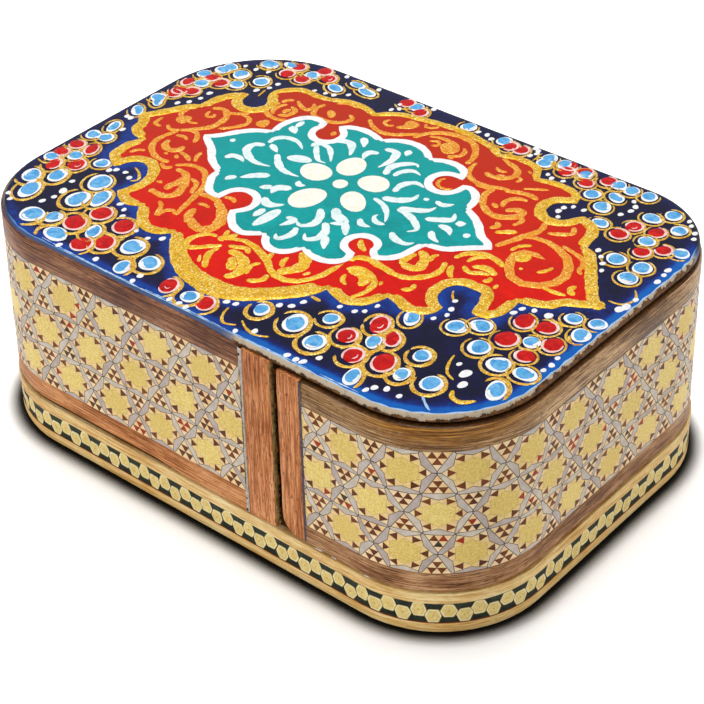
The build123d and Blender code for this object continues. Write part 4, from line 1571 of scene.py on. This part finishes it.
def make_linings(look):
    """Velvet on the tray's floor and round its wall, and felt under the base."""
    def rounded(half_x, half_y, radius, z, centre_x=0.0, steps=8):
        loop = []
        for index, (sx, sy) in enumerate(((1, -1), (1, 1), (-1, 1), (-1, -1))):
            for i in range(steps + 1):
                a = -pi / 2 + index * pi / 2 + pi / 2 * i / steps
                loop.append((centre_x + sx * (half_x - radius) + radius * cos(a), sy * (half_y - radius) + radius * sin(a), z))
        return loop

    def plate(name, body, node, material, half_x, half_y, radius, low, high, centre_x=0.0):
        mesh = Mesh()
        edge = min(0.18, (high - low) * 0.4)
        levels = [(edge, low), (0, low + edge), (0, high - edge), (edge * 0.3, high - edge * 0.3), (edge, high)]
        loops = [rounded(half_x - d, half_y - d, radius - d, z, centre_x) for d, z in levels]
        share = 0.94
        while share > 0.06:
            loops.append([
                (centre_x + (x - centre_x) * share, y * share, high + 0.03 * sin(x * 0.9 + y * 0.7) * sin(y * 0.8 - x * 0.3))
                for x, y, z in loops[4]
            ])
            share -= 0.08
        count = len(loops[0])
        points = [p for loop in loops for p in loop]
        faces = []
        for k in range(len(loops) - 1):
            for i in range(count):
                j = (i + 1) % count
                faces.append([k * count + i, k * count + j, (k + 1) * count + j, (k + 1) * count + i])
        faces.append([(len(loops) - 1) * count + i for i in range(count)])
        faces.append(list(range(count))[::-1])
        mesh.add(points, faces, material)
        return mesh.build(name, body, [node])

    velvet = plate("tray_floor_velvet", "drawer", "tray_floor_lining", look["velvet"], 42.9, 27.95, 10.95, 9.92, 10.4, 0.05)
    felt = plate("base_felt", "case", "base_felt_pad", look["felt"], 48.8, 33.8, 16.8, 0.0, 0.5)
    mesh = Mesh()
    heights = [10.42 + (32.7 - 10.42) * i / 10 for i in range(11)]
    levels = [(0.02, 10.42)] + [(0.02, z) for z in heights[1:-1]] + [(0.03, 32.6), (0.12, 32.78), (0.3, 32.8), (0.46, 32.68), (0.5, 32.4)]
    levels += [(0.5, z) for z in heights[-2:0:-1]] + [(0.5, 10.42)]
    loops = []
    for d, z in levels:
        loop = rounded(42.9 - d, 28.0 - d, 11.0 - d, z, 0.05, 10)
        if d > 0.4:
            loop = [(x - 0.04 * sin(y * 0.5 + z * 0.4) * (1 if x > 0 else -1), y - 0.04 * sin(x * 0.45 + z * 0.35) * (1 if y > 0 else -1), z) for x, y, z in loop]
        loops.append(loop)
    count = len(loops[0])
    points = [p for loop in loops for p in loop]
    faces = []
    for k in range(len(loops)):
        n = (k + 1) % len(loops)
        for i in range(count):
            j = (i + 1) % count
            faces.append([k * count + i, k * count + j, n * count + j, n * count + i])
    mesh.add(points, faces, look["velvet"])
    band = mesh.build("tray_wall_velvet", "drawer", ["tray_wall_lining"])


def make_field(name):
    """The lid's dark blue ground: indigo among the flowers, royal blue by the rim and the medallion."""
    shader = Shader(name, coat_weight=0.05, coat_roughness=0.05, specular_ior_level=0.07)
    tone = shader.node("Attribute", attribute_name="tone").outputs["Fac"]
    brush = shader.noise(shader.place((1, 1, 1)), 0.42, 3, 0.6, 1.2)
    fine = shader.noise(shader.place((1, 1, 1)), 3.0, 2, 0.6)
    spread = shader.math("MULTIPLY_ADD", brush, 0.7, shader.math("MULTIPLY_ADD", fine, 0.16, -0.41))
    value = shader.math("ADD", tone, spread)
    shader.colour(shader.ramp(value, (0.0, "090A2C"), (0.22, "0E1046"), (0.62, "083A98"), (1.0, "0A62BC")))
    shader.rough(brush, 0.1, 0.28)
    shader.bump(fine, 0.05, 0.04)
    return shader.material


def make_edge(name, dark, middle, bone, under=None):
    """The lid's edge, whose colour changes along it."""
    shader = Shader(name, coat_weight=0.05, coat_roughness=0.2, specular_ior_level=0.12)
    tone = shader.node("Attribute", attribute_name="tone").outputs["Fac"]
    chips = shader.noise(shader.place((1, 1, 1)), 1.1, 4, 0.7)
    grains = shader.noise(shader.place((1, 1, 1)), 6.0, 2, 0.6)
    base = shader.ramp(tone, (0.08, dark), (0.5, middle), (0.9, bone))
    if under:
        spot = shader.node("SeparateXYZ", {"Vector": shader.place((1, 1, 1))})
        side = shader.ramp(shader.math("MULTIPLY_ADD", spot.outputs["Y"], 0.02, 1.0), (0.42, 0.0), (0.66, 1.0))
        bite_out = shader.noise(shader.place((1, 1, 0.2)), 0.55, 4, 0.7)
        level = shader.math("MULTIPLY_ADD", bite_out, 2.4, shader.math("SUBTRACT", spot.outputs["Z"], 37.2 + 1.28))
        level = shader.math("MULTIPLY_ADD", side, -0.42, level)
        bare = shader.ramp(shader.math("MULTIPLY_ADD", level, 0.5, 0.25), (0.40, 0.0), (0.47, 1.0))
        low = shader.math("MULTIPLY", shader.math("SUBTRACT", 1.0, bare), shader.ramp(tone, (0.6, 0.0), (0.85, 1.0)))
        base = shader.mix(low, base, shader.ramp(chips, (0.4, under[0]), (0.6, under[1])))
    shade = shader.ramp(shader.math("MULTIPLY_ADD", grains, 0.35, chips), (0.48, 0.45), (0.62, 1.0))
    shader.colour(shader.mix(0.75, base, shade, "MULTIPLY"))
    shader.rough(chips, 0.35, 0.6)
    shader.bump(chips, 0.4, 0.06)
    return shader.material


def make_looks():
    look = {}
    look["base_tan"] = wood("base_tan_wood", "D09444", "F6CC80", "FFE6AC", "level", 0.9, 0.3, 0.3)
    look["base_pale"] = wood("base_pale_wood", "C48A44", "F0CA84", "FCE6AE", "level", 0.9, 0.25, 0.35)
    look["base_green"] = lacquered("base_green_ground", "0E1610", "343C30", 0.9, 0.45)
    look["red_line"] = lacquered("base_line_red", "6A2A10", "98522A", 0.6, 0.45)
    look["tile_edge"] = lacquered("tile_edge", "6A5224", "94783C", 1.0)
    look["tile_cream"] = lacquered("tile_cream", "EED894", "FFF4C8", 1.2)
    look["tile_gold"] = lacquered("tile_gold", "E2BE62", "F8E49C", 1.8)
    look["tile_dot"] = lacquered("tile_dot", "B07A34", "D0A050", 1.6)
    look["case_bottom"] = wood("case_bottom_wood", "7E421A", "C27A42", "E6AA74", "level", 0.9, 0.4, 0.45)
    look["case_top"] = wood("case_top_wood", "3A1C10", "7E4C30", "B4825C", "level", 1.1, 0.5, 0.5, 0.4, 0.06)
    look["cap_top"] = wood("cap_top_wood", "422610", "A67A4A", "EEC692", "level", 1.2, 1.0, 0.6, 0.36, 0.07, ("8E5A20", 43, -31, 26), 0.85)
    look["cap_bottom"] = wood("cap_bottom_wood", "4E2A10", "A4724A", "D8AE82", "level", 1.0, 0.5, 0.6)
    look["post"] = wood("post_wood", "80401A", "C87C46", "E8A876", "upright", 0.9, 0.3, 0.8, 0.45, 0.04)
    look["foot_line_dark"] = lacquered("foot_line_dark", "1C1006", "4A3012", 1.0, 0.55)
    look["glue_pale"] = lacquered("glue_pale", "8E8474", "CFC8BC", 1.4, 0.55)
    look["glue_grey"] = lacquered("glue_grey", "2E2228", "6A5C60", 1.4, 0.55)
    look["glue_white"] = lacquered("glue_white", "E4DCD0", "FFFFFF", 1.4, 0.5)
    look["hole"] = lacquered("painted_hole_shade", "140C06", "2A1A10", 1.0, 0.6, 0.05)
    look["cap_ledge"] = lacquered("cap_ledge_dark_amber", "1C0C02", "6E441A", 2.2, 0.5, 0.05)
    look["end_grain"] = lacquered("slit_end_grain", "2C2010", "A48C54", 1.0, 0.6, 0.05)
    look["core"] = wood("core_wood", "5A3F26", "84603E", "A07C54", "level", 0.8, 0.3, 0.4, 0.55, 0.05)
    look["core_end"] = wood("wall_core_wood", "3A2A14", "5E4A2C", "84704A", "upright", 0.8, 0.4, 0.5, 0.6, 0.05)
    look["tray"] = wood("tray_wood", "A06C36", "CFA066", "E8C894", "level", 0.9, 0.35, 0.4, 0.5)
    look["inlay_gold"] = [
        lacquered("inlay_gold_a", "D8B04C", "FBE796", 3.6, 0.4, 0.05),
        lacquered("inlay_gold_b", "D0A644", "F4DC88", 3.6, 0.4, 0.05),
    ]
    look["inlay_base"] = [
        lacquered("inlay_base_a", "E4BC70", "FADC9A", 2.4),
        lacquered("inlay_base_b", "E6C07C", "F8D8A0", 2.4),
    ]
    look["inlay_cream"] = [
        lacquered("inlay_cream_a", "F2C990", "FFE8C0", 1.2),
        lacquered("inlay_cream_b", "EDBE80", "FADAA8", 1.2),
        lacquered("inlay_cream_c", "EAC78A", "F8E2B0", 1.2),
    ]
    look["inlay_brown"] = [
        lacquered("inlay_brown_a", "54260C", "86481E", 1.2),
        lacquered("inlay_brown_b", "441E0A", "723A1A", 1.2),
    ]
    look["inlay_red"] = lacquered("inlay_red", "8A1E08", "B03C14", 1.2)
    look["inlay_dark"] = lacquered("inlay_dark", "281A14", "4A3830", 1.2)
    look["inlay_grey"] = [
        lacquered("inlay_grey_a", "B4A498", "D6CABE", 0.6),
        lacquered("inlay_grey_b", "A89890", "CCBEB6", 0.6),
        lacquered("inlay_grey_c", "BCAC9C", "DED2C4", 0.6),
    ]
    look["inlay_joint"] = lacquered("inlay_joint", "3A2C14", "66522E", 1.0, 0.5)
    look["lid_field"] = make_field("lid_field_navy")
    # The rounded top edge: near black paint at the back and left; its blues at the front are a painted highlight.
    look["lid_line"] = make_edge("lid_edge_paint_and_highlight", "0E1418", "5C8CC8", "A8CCEE")
    look["lid_side"] = make_edge("lid_side_bone", "101612", "36507E", "C4B299", ("2A1406", "7A4C18"))
    # Pale blue of the painted highlight streaks on the lid.
    look["streak"] = paint("painted_highlight_streak", "6AA4DC", "A4CCF0", "EAF4FF", 0.8)
    look["gold"] = gilt("paint_gold", "B47E10", "DEA61C", "F6D24C", "FFF2A4")
    look["ring"] = gilt("paint_gold_ring", "A87020", "D6A02E", "F0CC58", "FFEEA0")
    look["scroll"] = gilt("paint_gold_thin", "CE8412", "EAB21E", "F8D84E", "FFF09A")
    look["scroll_warm"] = gilt("paint_gold_warm", "CE6A16", "E89428", "F2B444", "FFE080")
    look["red"] = paint("paint_red", "CA0E00", "DE1000", "EA1800", 0.16, 0.2, 0.03, 0.1, "C02C06")
    look["teal"] = paint("paint_teal", "008A8A", "00A0A0", "00B0AE", 0.2, 0.18, 0.03, 0.08, "0CA0A0")
    look["white"] = paint("paint_white", "F0ECF2", "FFFFFF", "FFFFFF", 0.8, 0.25, 0.04, 0.15)
    look["mint"] = paint("paint_mint", "D0ECEA", "EEFCFA", "FFFFFF", 0.8, 0.25, 0.04, 0.15)
    look["petal"] = paint("paint_petal", "FAF4E0", "FFFFF0", "FFFFFA", 0.6, 0.25, 0.04, 0.15)
    look["pink"] = paint("paint_pink", "F0A8A0", "FAD6D0", "FFF0EC", 0.8, 0.25, 0.04, 0.15)
    look["sky"] = paint("paint_sky", "3E92D2", "60B0E8", "8CCAF4", 0.8, 0.22, 0.04, 0.12)
    look["crimson"] = paint("paint_crimson", "A8060C", "CC0E10", "E42418", 0.8, 0.22, 0.04, 0.12)
    look["velvet"] = cloth("velvet_red", "4A0812", "7E1220", 4.0, 0.7, "D86070")
    look["felt"] = cloth("felt_green", "20382A", "35553F", 5.0, 0.3, "A0C0A8")
    return look


def dress(look):
    """Materials for the solids that show as they are."""
    for node, name in (
        ("base_board", "core"), ("case_wall", "core_end"), ("lid_board", "core"), ("cap_wall", "core_end"),
        ("tray_rim_outer_half", "tray"), ("tray_rim_inner_half", "tray"), ("tray_floor", "tray"),
    ):
        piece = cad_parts[node]
        piece.data.materials.clear()
        piece.data.materials.append(look[name])


make_camera()
make_light()
make_floor()
look = make_looks()
dress(look)
make_base(look)
make_chain(look)
make_strips(look)
make_posts(look)
make_glue(look)
make_slit_faces(look)
make_inlay(look)
make_lid(look)
make_medallion(look)
make_flowers(look)
make_linings(look)
